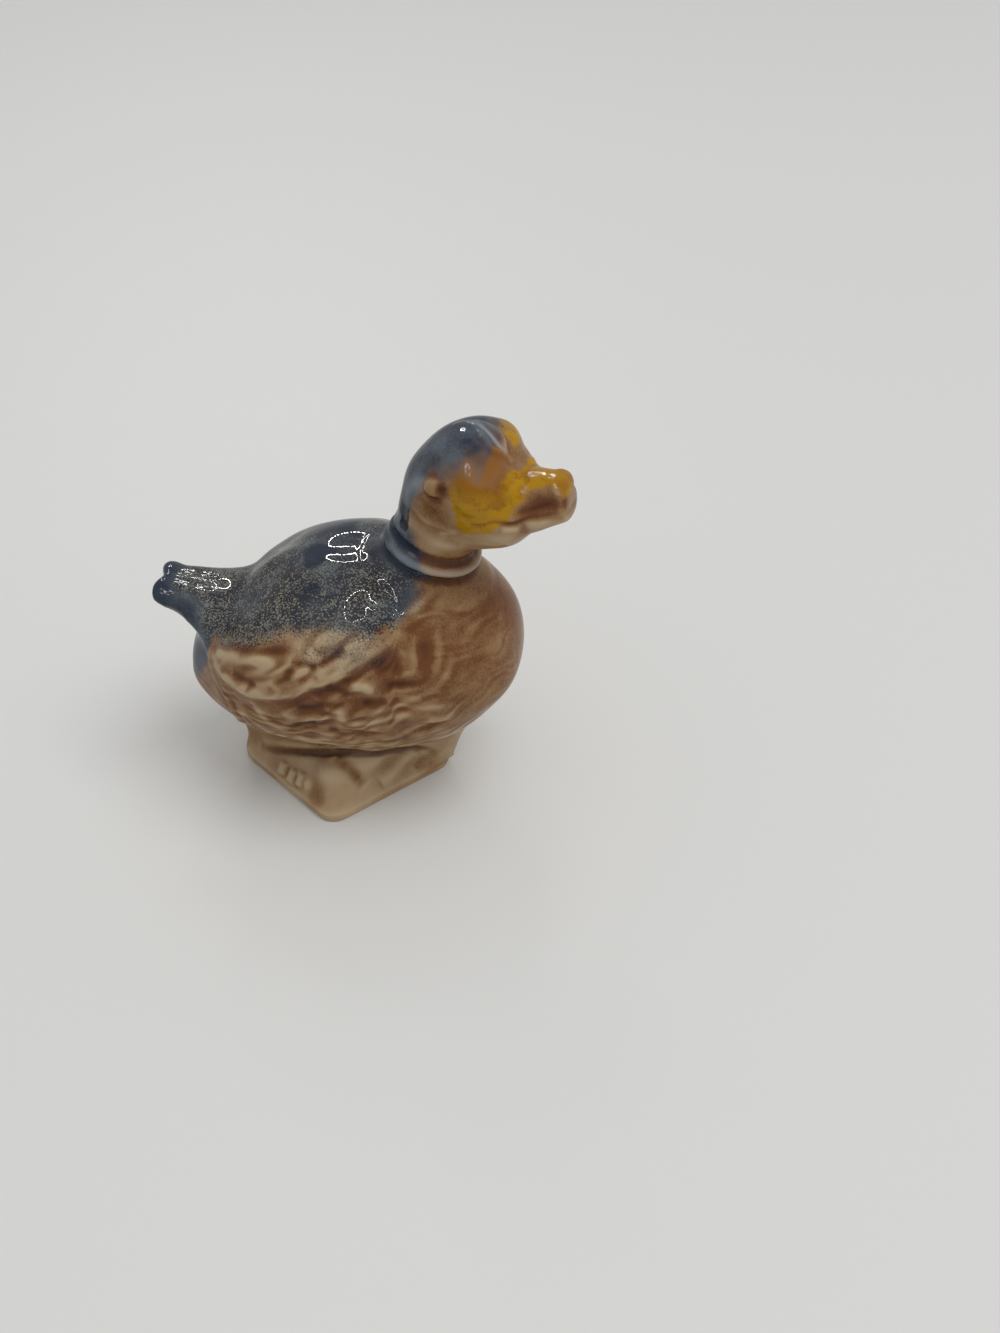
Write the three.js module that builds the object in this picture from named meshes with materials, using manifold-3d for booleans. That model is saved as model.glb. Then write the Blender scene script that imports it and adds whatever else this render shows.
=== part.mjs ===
// A small pressed-porcelain duck, glazed and hand-coloured, sitting up on a lozenge-shaped plinth.
// Sizes are millimetres. +X is the way that the body faces, +Y is the duck's left and +Z is up. The
// origin is under the middle of the whole figure, on the surface that it stands on.
// The real figure is fired in one. Its forms are modelled one by one here, as a modeller makes them,
// and a thin seam parts each form from the one that it is luted to.
import * as THREE from "three";
import { mergeVertices } from "three/addons/utils/BufferGeometryUtils.js";
import Module from "manifold-3d";

const wasm = await Module();
wasm.setup();

// The seam between two forms that are luted together.
const SEAM = 0.3;

// Plinth: a lozenge slab with rounded corners, a blunter one behind, and a shallow recess below.
const PLINTH_FRONT = 10;
const PLINTH_BACK = 8.9;
const PLINTH_BACK_WIDTH = 3.4;
const PLINTH_WIDTH = 19.2;
const PLINTH_SIDE_FORWARD = 0.8;
const PLINTH_CORNER = 1.5;
const POINT_INSET = 1.4;
const BACK_CORNER_INSET = 0.4;
const PLINTH_HEIGHT = 0.9;
const PLINTH_EDGE_ROUND = 0.25;
const RECESS_DEPTH = 0.4;
const RIM_WIDTH = 1.8;

// Feet: one webbed foot on each side of the plinth. Its crease under the haunch has these heights at
// equal steps from back to front. Its webs swell up at a share of the way round the plinth's edge,
// from back to front, and a distance in from it. The toes lie behind the side corner.
const CREASE_HEIGHTS = [1.8, 2.4, 3.3, 4.7, 5.3, 4.4];
const FOOT_HOLLOW = 1.4;
const FOOT_SLOPE = 1.6;
const CREASE_SHARE = 0.75;
const FOOT_SET_IN = 0.15;
const RIM_RISE = 1.1;
const RIM_STEEPNESS = 0.9;
const WEB_RISE = 0.6;
const WEB_REACH = 1.45;
const WEBS = [
  { share: 0.51, inwards: 2.9 },
  { share: 0.66, inwards: 2.2 },
];
const TOES = 3;
const TOE_RIDGE = 0.3;
const TOE_PITCH = 0.85;
const TOES_BACK = 2.7;

// Haunches: the keeled block between the plinth and the belly.
const HAUNCH_FOOT_INSET = 0.15;
const HAUNCH_FOOT_WIDTH = 5.6;
const HAUNCH_TOP_INSET = 1.9;
const HAUNCH_SIDE_INSET = 1.8;
const HAUNCH_TOP_FORWARD = 0.2;
const HAUNCH_BURIED = 4.4;
const HAUNCH_FLARE = 1.5;

// Body: an egg from the rump to the breast.
const BODY_LENGTH = 28.5;
const BODY_WIDTH = 19.2;
const BODY_DEPTH = 17.4;
const BELLY_HEIGHT = 4.9;
const BODY_FORWARD = 1.55;

// Wings: one folded against the upper side of the body, on each side.
const WING_LENGTH = 16;
const WING_SPAN = 72;
const WING_THICKNESS = 0.75;
const WING_FULLNESS = 0.8;
const WING_BACK = 2.8;
const WING_RAISED = 46;
const WING_SWEEP = 20;
const FLIGHT_FEATHERS = 5;
const FLUTE_DEPTH = 0.16;
const FLUTE_SLANT = 0.35;

// Tail: a thick tongue that turns up behind the rump, with a notch in its end.
const TAIL_LENGTH = 10;
const TAIL_BURIED = 7.7;
const TAIL_ROOT_WIDTH = 13.5;
const TAIL_TIP_WIDTH = 5;
const TAIL_ROOT_THICKNESS = 9;
const TAIL_TIP_THICKNESS = 2.2;
const TAIL_RAISED = 0.4;
const TAIL_RISE = 3.4;
const TAIL_NOTCH = 0.5;

// Neck, with the moulded ring round its foot.
const NECK_DIAMETER = 6.5;
const NECK_LENGTH = 4.7;
const NECK_LEAN = 18;
const NECK_FORWARD = 8.6;
const NECK_RAISED = 1.4;
const NECK_SWELL = 1.5;
const NECK_SWELL_REACH = 4.4;
const RING_DIAMETER = 8.2;
const RING_THICKNESS = 1.4;

// Head: it turns a little to the duck's right and tips up.
const HEAD_LENGTH = 10.2;
const HEAD_WIDTH = 9.2;
const HEAD_DEPTH = 10.4;
const HEAD_FORWARD = 1;
const HEAD_RAISED = 2.1;
const HEAD_TURN = 12;
const HEAD_TIP = 8;
const CHIN_DROP = 5.5;
const HEAD_WIDEST = 0.54;
const CHEEK_BULGE = 1.35;
const CHEEK_FORWARD = 2.4;
const CHEEK_RAISED = 2.1;
const CHEEK_REACH = 2;

// Bill: deep, blunt and shut, the upper half over a thinner lower one.
const BILL_LENGTH = 4.6;
const BILL_BURIED = 1.4;
const BILL_ROOT_WIDTH = 5.4;
const BILL_TIP_WIDTH = 3.9;
const UPPER_BILL_DEPTH = 2.2;
const LOWER_BILL_DEPTH = 1.25;
const LOWER_BILL_SHORT = 0.05;
const MOUTH_DROP = 2.1;
const MOUTH_RISE = 0.7;

// Eyes: a raised bead on each side of the head.
const EYE_DIAMETER = 1.6;
const EYE_PROUD = 0.5;
const EYE_BACK = 0.8;
const EYE_RAISED = 20;

const glaze = {
  fawn: { color: 0xb0937c, roughness: 0.12 },
  cream: { color: 0xc4ae98, roughness: 0.12 },
  slate: { color: 0x4b5769, roughness: 0.14 },
  yellow: { color: 0xb79b28, roughness: 0.14 },
  grey: { color: 0x96999c, roughness: 0.12 },
};

const radians = THREE.MathUtils.degToRad;
const { lerp, smoothstep, clamp } = THREE.MathUtils;
const bell = (x) => Math.exp(-x * x);
const power = (x, p) => Math.sign(x) * Math.abs(x) ** p;

// The geometry without normals or seams in its skin, so that it is one closed surface.
function closed(geometry) {
  const bare = geometry.clone();
  bare.deleteAttribute("normal");
  bare.deleteAttribute("uv");
  return mergeVertices(bare, 1e-5);
}

// A closed geometry as a solid that can be cut.
function solid(geometry) {
  const skin = closed(geometry);
  const vertProperties = Float32Array.from(skin.attributes.position.array);
  const triVerts = Uint32Array.from(skin.index.array);
  return new wasm.Manifold(new wasm.Mesh({ numProp: 3, vertProperties, triVerts }));
}

// A solid as a geometry.
function geometryOf(form) {
  const { vertProperties, triVerts } = form.getMesh();
  return new THREE.BufferGeometry()
    .setAttribute("position", new THREE.BufferAttribute(vertProperties, 3))
    .setIndex(new THREE.BufferAttribute(triVerts, 1));
}

// Moves every point of a geometry: place(point) changes the point that it is given.
function shaped(geometry, place) {
  const positions = geometry.attributes.position;
  const point = new THREE.Vector3();
  for (let i = 0; i < positions.count; i++) {
    place(point.fromBufferAttribute(positions, i));
    positions.setXYZ(i, point.x, point.y, point.z);
  }
  return geometry;
}

// The same form with its skin moved out by the seam, for cutting what is luted to it.
function grown(geometry) {
  const skin = closed(geometry);
  skin.computeVertexNormals();
  const { position, normal } = skin.attributes;
  for (let i = 0; i < position.count; i++) {
    const x = position.getX(i) + normal.getX(i) * SEAM;
    const y = position.getY(i) + normal.getY(i) * SEAM;
    const z = position.getZ(i) + normal.getZ(i) * SEAM;
    position.setXYZ(i, x, y, z);
  }
  return skin;
}

// A smooth surface through cross-sections: where each stands, its low and high edges, its half-width
// and how high its widest level is, as a share of its depth. It gives the point at a share of the
// way along and at an angle round the section, from the duck's left over the top.
function surface(sections, { squareness = 2 } = {}) {
  const through = (points) => new THREE.CatmullRomCurve3(points, false, "catmullrom");
  const edges = through(sections.map((s) => new THREE.Vector3(s.at, s.low, s.high)));
  const widths = through(sections.map((s) => new THREE.Vector3(s.half, s.level ?? 0.5, 0)));
  return (share, angle) => {
    const { x: at, y: low, z: high } = edges.getPoint(share);
    const { x: half, y: level } = widths.getPoint(share);
    const middle = lerp(low, high, level);
    const rise = power(Math.sin(angle), 2 / squareness);
    const reach = rise > 0 ? high - middle : middle - low;
    return new THREE.Vector3(at, half * power(Math.cos(angle), 2 / squareness), middle + rise * reach);
  };
}

// The closed skin of a surface. A section of no width at either end is a rounded end, any other
// is a flat one. Rings lie closer together towards the ends.
function loft(sections, { around = 36, along = 24, squareness = 2 } = {}) {
  const at = surface(sections, { squareness });
  const points = [];
  const ring = (share) => {
    for (let k = 0; k < around; k++) points.push(at(share, (2 * Math.PI * k) / around));
  };
  const centre = (share) => points.push(at(share, 0).lerp(at(share, Math.PI), 0.5));
  const first = sections[0].half === 0 ? 1 : 0;
  const last = sections.at(-1).half === 0 ? along - 1 : along;
  centre(0);
  for (let k = first; k <= last; k++) ring((1 - Math.cos((Math.PI * k) / along)) / 2);
  centre(1);
  const faces = [];
  const end = points.length - 1;
  for (let k = 0; k < around; k++) {
    const next = (k + 1) % around;
    faces.push(0, 1 + next, 1 + k);
    faces.push(end, end - around + k, end - around + next);
    for (let here = 1; here < end - around; here += around) {
      const there = here + around;
      faces.push(here + k, there + next, there + k, here + k, here + next, there + next);
    }
  }
  return new THREE.BufferGeometry().setFromPoints(points).setIndex(faces);
}

// Stands a form that was made lying along X upright, its front still to the front.
const upright = (geometry) => shaped(geometry, (p) => p.set(p.z, -p.y, p.x));

// Plinth

function roundedOutline(corners, radius) {
  const shape = new THREE.Shape();
  corners.forEach((corner, i) => {
    const before = corners.at(i - 1).clone().sub(corner);
    const after = corners[(i + 1) % corners.length].clone().sub(corner);
    const from = corner.clone().add(before.setLength(Math.min(radius, before.length() / 2)));
    const to = corner.clone().add(after.setLength(Math.min(radius, after.length() / 2)));
    if (i === 0) shape.moveTo(from.x, from.y);
    else shape.lineTo(from.x, from.y);
    shape.quadraticCurveTo(corner.x, corner.y, to.x, to.y);
  });
  shape.closePath();
  return shape;
}

// The plinth's corners, moved in from its edge: front, left, the two behind and right.
function plinthCorners(inset) {
  const front = PLINTH_FRONT - POINT_INSET * inset;
  const side = PLINTH_WIDTH / 2 - POINT_INSET * inset;
  const back = -PLINTH_BACK + inset;
  const backSide = PLINTH_BACK_WIDTH / 2 - BACK_CORNER_INSET * inset;
  return [
    new THREE.Vector2(front, 0),
    new THREE.Vector2(PLINTH_SIDE_FORWARD, side),
    new THREE.Vector2(back, backSide),
    new THREE.Vector2(back, -backSide),
    new THREE.Vector2(PLINTH_SIDE_FORWARD, -side),
  ];
}

function plinth() {
  const round = PLINTH_EDGE_ROUND;
  const slab = new THREE.ExtrudeGeometry(roundedOutline(plinthCorners(round), PLINTH_CORNER), {
    depth: PLINTH_HEIGHT - 2 * round,
    bevelThickness: round,
    bevelSize: round,
    bevelSegments: 2,
    curveSegments: 6,
  }).translate(0, 0, round);
  const recess = new THREE.ExtrudeGeometry(roundedOutline(plinthCorners(RIM_WIDTH), PLINTH_CORNER), {
    depth: 2 * RECESS_DEPTH,
    bevelEnabled: false,
    curveSegments: 6,
  }).translate(0, 0, -RECESS_DEPTH);
  return geometryOf(solid(slab).subtract(solid(recess)));
}

// Feet

// The plinth's edge on the duck's left, from the middle of the back to the middle of the front.
function leftRim() {
  const [front, side, back] = plinthCorners(PLINTH_EDGE_ROUND + FOOT_SET_IN);
  const turn = (corner, next) => corner.clone().add(next.clone().sub(corner).setLength(PLINTH_CORNER));
  const start = new THREE.Vector2(back.x, SEAM / 2);
  const end = new THREE.Vector2(front.x - PLINTH_CORNER / 2, SEAM / 2);
  const backTurn = turn(back, side);
  const sideTurns = [turn(side, back), turn(side, front)];
  const rim = new THREE.CurvePath();
  rim.add(new THREE.QuadraticBezierCurve(start, back, backTurn));
  rim.add(new THREE.LineCurve(backTurn, sideTurns[0]));
  rim.add(new THREE.QuadraticBezierCurve(sideTurns[0], side, sideTurns[1]));
  rim.add(new THREE.LineCurve(sideTurns[1], end));
  return rim;
}

// The duck's left foot: it rises steeply from the plinth's edge and then gently to the haunch, with
// webs that swell up and small toe ridges behind them.
function leftFoot() {
  const rim = leftRim();
  const [front, , back] = plinthCorners(PLINTH_EDGE_ROUND + FOOT_SET_IN);
  const root = (share) => new THREE.Vector2(CREASE_SHARE * lerp(back.x, front.x, share), SEAM / 2);
  const crease = new THREE.SplineCurve(CREASE_HEIGHTS.map((height, i) => new THREE.Vector2(i, height)));
  const webs = WEBS.map(({ share, inwards }) => {
    const from = rim.getPointAt(share);
    return from.clone().add(root(share).sub(from).setLength(inwards));
  });
  const side = PLINTH_SIDE_FORWARD - TOES_BACK;
  const form = new THREE.BoxGeometry(1, 1, 1, 40, 8, 1);
  return shaped(form, (p) => {
    const share = clamp(p.x + 0.5, 0, 1);
    const inwards = (0.5 - p.y) ** FOOT_HOLLOW;
    const edge = rim.getPointAt(share);
    const place = edge.clone().lerp(root(share), inwards);
    const distance = place.distanceTo(edge);
    const steep = RIM_RISE * (1 - bell(distance / RIM_STEEPNESS));
    const gentle = Math.max(crease.getPoint(share).y - PLINTH_HEIGHT - FOOT_SET_IN - RIM_RISE, 0);
    const swell = webs.reduce((sum, web) => sum + bell(place.distanceTo(web) / WEB_REACH), 0);
    const toe = clamp((side - place.x) / TOE_PITCH, 0, TOES);
    const ridges = Math.sin(Math.PI * toe) ** 2 * bell((distance - RIM_STEEPNESS) / RIM_STEEPNESS);
    const carved = (WEB_RISE * swell + TOE_RIDGE * ridges) * smoothstep(distance, 0, RIM_STEEPNESS);
    const top = PLINTH_HEIGHT + FOOT_SET_IN + steep + gentle * smoothstep(distance, 0, FOOT_SLOPE) + carved;
    p.set(place.x, place.y, p.z > 0 ? top : PLINTH_HEIGHT);
  });
}

// Haunches

const HAUNCH_SHARES = [0, 0.25, 0.6, 1];

function haunches() {
  const footLength = PLINTH_FRONT + PLINTH_BACK - 2 * HAUNCH_FOOT_INSET;
  const topLength = BODY_LENGTH - 2 * HAUNCH_TOP_INSET;
  const topWidth = BODY_WIDTH - 2 * HAUNCH_SIDE_INSET;
  const middle = (PLINTH_FRONT - PLINTH_BACK) / 2;
  const top = BELLY_HEIGHT + HAUNCH_BURIED;
  const sections = HAUNCH_SHARES.map((share) => {
    const at = lerp(PLINTH_HEIGHT, top, share);
    const half = lerp(HAUNCH_FOOT_WIDTH, topWidth, share ** HAUNCH_FLARE) / 2;
    const reach = lerp(footLength, topLength, share) / 2;
    const centre = middle + HAUNCH_TOP_FORWARD * share;
    return { at, low: centre - reach, high: centre + reach, half };
  });
  return upright(loft(sections, { around: 32, along: 8, squareness: 1.5 }));
}

// Body

// The body's profile: shares of its length, depth and width.
const BODY_PROFILE = [
  { along: 0, low: 0.3, high: 0.3, wide: 0 },
  { along: 0.012, low: 0.2, high: 0.42, wide: 0.22 },
  { along: 0.06, low: 0.13, high: 0.55, wide: 0.42 },
  { along: 0.16, low: 0.08, high: 0.7, wide: 0.72 },
  { along: 0.3, low: 0.03, high: 0.87, wide: 0.94 },
  { along: 0.46, low: 0, high: 0.965, wide: 1 },
  { along: 0.62, low: 0.01, high: 0.99, wide: 0.98 },
  { along: 0.76, low: 0.05, high: 0.98, wide: 0.91 },
  { along: 0.88, low: 0.18, high: 0.89, wide: 0.75 },
  { along: 0.95, low: 0.32, high: 0.79, wide: 0.55 },
  { along: 0.988, low: 0.43, high: 0.7, wide: 0.3 },
  { along: 1, low: 0.57, high: 0.57, wide: 0 },
];
const RUMP = BODY_FORWARD - BODY_LENGTH / 2;
const BACK_HEIGHT = BELLY_HEIGHT + BODY_DEPTH;
const BODY_SECTIONS = BODY_PROFILE.map((s) => ({
  at: RUMP + s.along * BODY_LENGTH,
  low: BELLY_HEIGHT + s.low * BODY_DEPTH,
  high: BELLY_HEIGHT + s.high * BODY_DEPTH,
  half: (s.wide * BODY_WIDTH) / 2,
}));

// The body's back swells up round the foot of the neck.
function body() {
  const form = loft(BODY_SECTIONS, { around: 40, along: 28 });
  return shaped(form, (p) => {
    const away = Math.hypot(p.x - NECK_FORWARD, p.y) / NECK_SWELL_REACH;
    const upper = smoothstep(p.z, BACK_HEIGHT - 0.5 * BODY_DEPTH, BACK_HEIGHT);
    p.z += NECK_SWELL * bell(away) * upper;
  });
}

// The share of the way along a surface at which it reaches a distance.
function shareAt(at, distance) {
  let low = 0;
  let high = 1;
  for (let i = 0; i < 24; i++) {
    const middle = (low + high) / 2;
    if (at(middle, 0).x < distance) low = middle;
    else high = middle;
  }
  return low;
}

// Where a surface is, and which way it faces, at a distance along it and an angle round it.
function patch(at, distance, angle) {
  const share = clamp(shareAt(at, distance), 0.002, 0.998);
  const step = 0.002;
  const point = at(share, angle);
  const forwards = at(Math.min(share + step, 1), angle).sub(at(Math.max(share - step, 0), angle));
  const round = at(share, angle + step).sub(at(share, angle - step));
  return { point, normal: round.cross(forwards).normalize() };
}

// Wings

// The duck's left wing: a lens that lies on the body's skin, fluted between its flight feathers.
function leftWing() {
  const at = surface(BODY_SECTIONS);
  const form = new THREE.SphereGeometry(1, 32, 18).rotateZ(Math.PI / 2);
  return shaped(form, (p) => {
    const { x, y, z } = p;
    const distance = BODY_FORWARD - WING_BACK + (x * WING_LENGTH) / 2;
    const angle = radians(WING_RAISED + x * WING_SWEEP + (z * WING_SPAN) / 2);
    const { point, normal } = patch(at, distance, angle);
    const fluted = smoothstep(-x, -FLUTE_SLANT, FLUTE_SLANT) * Math.max(0, y);
    const flutes = Math.cos(Math.PI * FLIGHT_FEATHERS * (z + FLUTE_SLANT * x));
    const out = (SEAM + WING_THICKNESS) * power(y, WING_FULLNESS) + FLUTE_DEPTH * fluted * flutes;
    p.copy(point).addScaledVector(normal, out);
  });
}

// Tail

function tail() {
  const root = RUMP + TAIL_BURIED;
  const level = BELLY_HEIGHT + BODY_DEPTH / 2 + TAIL_RAISED;
  const section = (share, rise, taper, blunt = 1) => {
    const half = (blunt * lerp(TAIL_ROOT_WIDTH, TAIL_TIP_WIDTH, taper)) / 2;
    const depth = (blunt * lerp(TAIL_ROOT_THICKNESS, TAIL_TIP_THICKNESS, taper)) / 2;
    const middle = level + rise * TAIL_RISE;
    return { at: root - share * TAIL_LENGTH, low: middle - depth, high: middle + depth, half };
  };
  const form = loft(
    [
      section(1, 1, 1, 0),
      section(0.99, 1, 1, 0.7),
      section(0.94, 0.98, 1),
      section(0.82, 0.88, 0.95),
      section(0.6, 0.6, 0.78),
      section(0.35, 0.28, 0.5),
      section(0.15, 0.08, 0.2),
      section(0, 0, 0),
    ],
    { around: 28, along: 20, squareness: 2.3 },
  );
  const tip = root - TAIL_LENGTH;
  return shaped(form, (p) => {
    const across = bell((5 * p.y) / TAIL_TIP_WIDTH);
    p.x += TAIL_NOTCH * across * bell((p.x - tip) / (3 * TAIL_NOTCH));
  });
}

// Neck and ring

// The neck stands on the back at its foot and leans forward.
const NECK_FOOT = new THREE.Vector3(NECK_FORWARD, 0, BACK_HEIGHT + NECK_RAISED);
const NECK_PLACE = new THREE.Matrix4()
  .makeTranslation(NECK_FOOT.x, NECK_FOOT.y, NECK_FOOT.z)
  .multiply(new THREE.Matrix4().makeRotationY(radians(NECK_LEAN)));

function neck() {
  const section = (share, wide) => {
    const half = (wide * NECK_DIAMETER) / 2;
    return { at: share * NECK_LENGTH, low: -half, high: half, half };
  };
  const sections = [
    section(-0.5, 1.18),
    section(-0.25, 1.1),
    section(0, 1),
    section(0.4, 1.02),
    section(0.8, 1.1),
    section(1, 1.08),
  ];
  return upright(loft(sections, { around: 28, along: 8 })).applyMatrix4(NECK_PLACE);
}

function neckRing() {
  const thread = RING_THICKNESS / 2;
  return new THREE.TorusGeometry(RING_DIAMETER / 2 - thread, thread, 12, 36).applyMatrix4(NECK_PLACE);
}

// Head

// The head's profile, from the nape to the forehead: shares of its length, depth and width.
const HEAD_PROFILE = [
  { along: 0, low: 0.56, high: 0.56, wide: 0 },
  { along: 0.03, low: 0.4, high: 0.67, wide: 0.34 },
  { along: 0.13, low: 0.2, high: 0.78, wide: 0.66 },
  { along: 0.3, low: 0.06, high: 0.93, wide: 0.91 },
  { along: 0.5, low: 0.01, high: 1.01, wide: 1 },
  { along: 0.68, low: -0.01, high: 1, wide: 0.98 },
  { along: 0.83, low: 0.03, high: 0.74, wide: 0.9 },
  { along: 0.94, low: 0.1, high: 0.49, wide: 0.64 },
  { along: 1, low: 0.36, high: 0.36, wide: 0 },
];
const HEAD_SECTIONS = HEAD_PROFILE.map((s) => ({
  at: (s.along - 0.5) * HEAD_LENGTH,
  low: s.low * HEAD_DEPTH - CHIN_DROP,
  high: s.high * HEAD_DEPTH - CHIN_DROP,
  half: (s.wide * HEAD_WIDTH) / 2,
  level: HEAD_WIDEST,
}));

// Forms made about the head's own middle go where the head is, turned and tipped with it.
const HEAD_MIDDLE = new THREE.Vector3(HEAD_FORWARD, 0, NECK_LENGTH + HEAD_RAISED);
HEAD_MIDDLE.applyMatrix4(NECK_PLACE);
const HEAD_PLACE = new THREE.Matrix4()
  .makeTranslation(HEAD_MIDDLE.x, HEAD_MIDDLE.y, HEAD_MIDDLE.z)
  .multiply(new THREE.Matrix4().makeRotationZ(-radians(HEAD_TURN)))
  .multiply(new THREE.Matrix4().makeRotationY(-radians(HEAD_TIP)));

function head() {
  const form = loft(HEAD_SECTIONS, { around: 40, along: 28 });
  shaped(form, (p) => {
    const along = (p.x - CHEEK_FORWARD) / CHEEK_REACH;
    const up = (p.z - CHEEK_RAISED) / CHEEK_REACH;
    const side = smoothstep(Math.abs(p.y), 0, HEAD_WIDTH / 4);
    p.y += Math.sign(p.y) * CHEEK_BULGE * bell(along) * bell(up) * side;
  });
  return form.applyMatrix4(HEAD_PLACE);
}

// Bill

// One half of the bill, from inside the head to its blunt tip. Each station says how far its edges
// lie over and under the mouth, where the half is widest.
function billHalf(stations, length, squareness) {
  const root = HEAD_LENGTH / 2 - BILL_BURIED;
  const sections = stations.map(({ share, over, under, wide }) => {
    const mouth = MOUTH_RISE * share - MOUTH_DROP;
    const level = over + under > 0 ? under / (over + under) : 0.5;
    return { at: root + share * length, low: mouth - under, high: mouth + over, half: wide / 2, level };
  });
  return loft(sections, { around: 28, along: 18, squareness }).applyMatrix4(HEAD_PLACE);
}

function upperBill() {
  const root = BILL_ROOT_WIDTH;
  const tip = BILL_TIP_WIDTH;
  const deep = UPPER_BILL_DEPTH;
  const palate = 0.12 * deep;
  return billHalf(
    [
      { share: 0, over: 1.5 * deep, under: palate, wide: root },
      { share: 0.3, over: 1.22 * deep, under: palate, wide: root },
      { share: 0.55, over: 1.08 * deep, under: palate, wide: 0.5 * (root + tip) },
      { share: 0.8, over: 1.12 * deep, under: palate, wide: tip },
      { share: 0.93, over: 1.02 * deep, under: palate, wide: 0.92 * tip },
      { share: 0.985, over: 0.76 * deep, under: 0, wide: 0.66 * tip },
      { share: 1, over: 0.4 * deep, under: -0.4 * deep, wide: 0 },
    ],
    BILL_LENGTH,
    2.3,
  );
}

function lowerBill() {
  const root = 0.94 * BILL_ROOT_WIDTH;
  const tip = 0.94 * BILL_TIP_WIDTH;
  const deep = LOWER_BILL_DEPTH;
  const tongue = 0.1 * deep;
  return billHalf(
    [
      { share: 0, over: tongue, under: 1.7 * deep, wide: root },
      { share: 0.4, over: tongue, under: 1.45 * deep, wide: root },
      { share: 0.7, over: tongue, under: 1.15 * deep, wide: 0.5 * (root + tip) },
      { share: 0.92, over: tongue, under: deep, wide: 0.97 * tip },
      { share: 0.985, over: 0, under: 0.85 * deep, wide: 0.8 * tip },
      { share: 1, over: -0.3 * deep, under: 0.3 * deep, wide: 0 },
    ],
    BILL_LENGTH - LOWER_BILL_SHORT,
    2.2,
  );
}

// Eyes

function leftEye() {
  const at = surface(HEAD_SECTIONS);
  const { point, normal } = patch(at, -EYE_BACK, radians(EYE_RAISED));
  const facing = new THREE.Quaternion().setFromUnitVectors(new THREE.Vector3(0, 1, 0), normal);
  return new THREE.SphereGeometry(EYE_DIAMETER / 2, 16, 10)
    .scale(1, (2 * EYE_PROUD) / EYE_DIAMETER, 1)
    .applyQuaternion(facing)
    .translate(point.x, point.y, point.z);
}

// The same form on the other side of the plane through the middle of the body or head.
function mirrored(geometry) {
  const other = closed(geometry);
  shaped(other, (p) => p.setY(-p.y));
  const faces = other.index;
  for (let i = 0; i < faces.count; i += 3) {
    const second = faces.getX(i + 1);
    faces.setX(i + 1, faces.getX(i + 2));
    faces.setX(i + 2, second);
  }
  return other;
}

// Assembly: each form keeps the seam to those that it is luted to.

const duck = new THREE.Group();

function addForm(name, geometry, finish, ...neighbours) {
  const cut = (form, neighbour) => form.subtract(solid(grown(neighbour)));
  const form = neighbours.reduce(cut, solid(geometry));
  const material = new THREE.MeshStandardMaterial({ ...finish, metalness: 0 });
  const mesh = new THREE.Mesh(geometryOf(form), material);
  mesh.name = name;
  duck.add(mesh);
}

const forms = {
  plinth: plinth(),
  haunches: haunches(),
  body: body(),
  tail: tail(),
  neck: neck(),
  ring: neckRing(),
  head: head(),
  upperBill: upperBill(),
  lowerBill: lowerBill(),
};
const eyes = {
  left: leftEye().applyMatrix4(HEAD_PLACE),
  right: mirrored(leftEye()).applyMatrix4(HEAD_PLACE),
};
const wings = { left: leftWing(), right: mirrored(leftWing()) };
const feet = { left: leftFoot(), right: mirrored(leftFoot()) };

addForm("plinth", forms.plinth, glaze.fawn);
addForm("haunches", forms.haunches, glaze.cream, forms.body);
addForm("body", forms.body, glaze.fawn);
addForm("tail", forms.tail, glaze.slate, forms.body);
addForm("neck", forms.neck, glaze.slate, forms.body);
addForm("neck_ring", forms.ring, glaze.grey, forms.body, forms.neck);
addForm("head", forms.head, glaze.slate, forms.neck, forms.ring, forms.body, eyes.left, eyes.right);
addForm("upper_bill", forms.upperBill, glaze.yellow, forms.head);
addForm("lower_bill", forms.lowerBill, glaze.cream, forms.head, forms.upperBill);
for (const side of ["left", "right"]) {
  addForm(`${side}_eye`, eyes[side], glaze.cream);
  addForm(`${side}_wing`, wings[side], glaze.fawn, forms.body, forms.tail, forms.neck);
  addForm(`${side}_foot`, feet[side], glaze.cream, forms.haunches, forms.body);
}

// The figure stands with the middle of its outline over the origin.
const middle = new THREE.Box3().setFromObject(duck).getCenter(new THREE.Vector3());
duck.position.set(-middle.x, -middle.y, 0);

export default duck;
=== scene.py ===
"""A miniature duck in glazed porcelain, pressed in one, carved, sprayed and hand-coloured.

The forms of the frame are luted into one clay skin, which is softened, carved and coloured by its
own relief, and then parted into the figure's pieces. The clay is worked in millimetres about its
home, the point of the plinth that the modeller measures from, with +X to the front and +Y to the
duck's left.
"""

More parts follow.
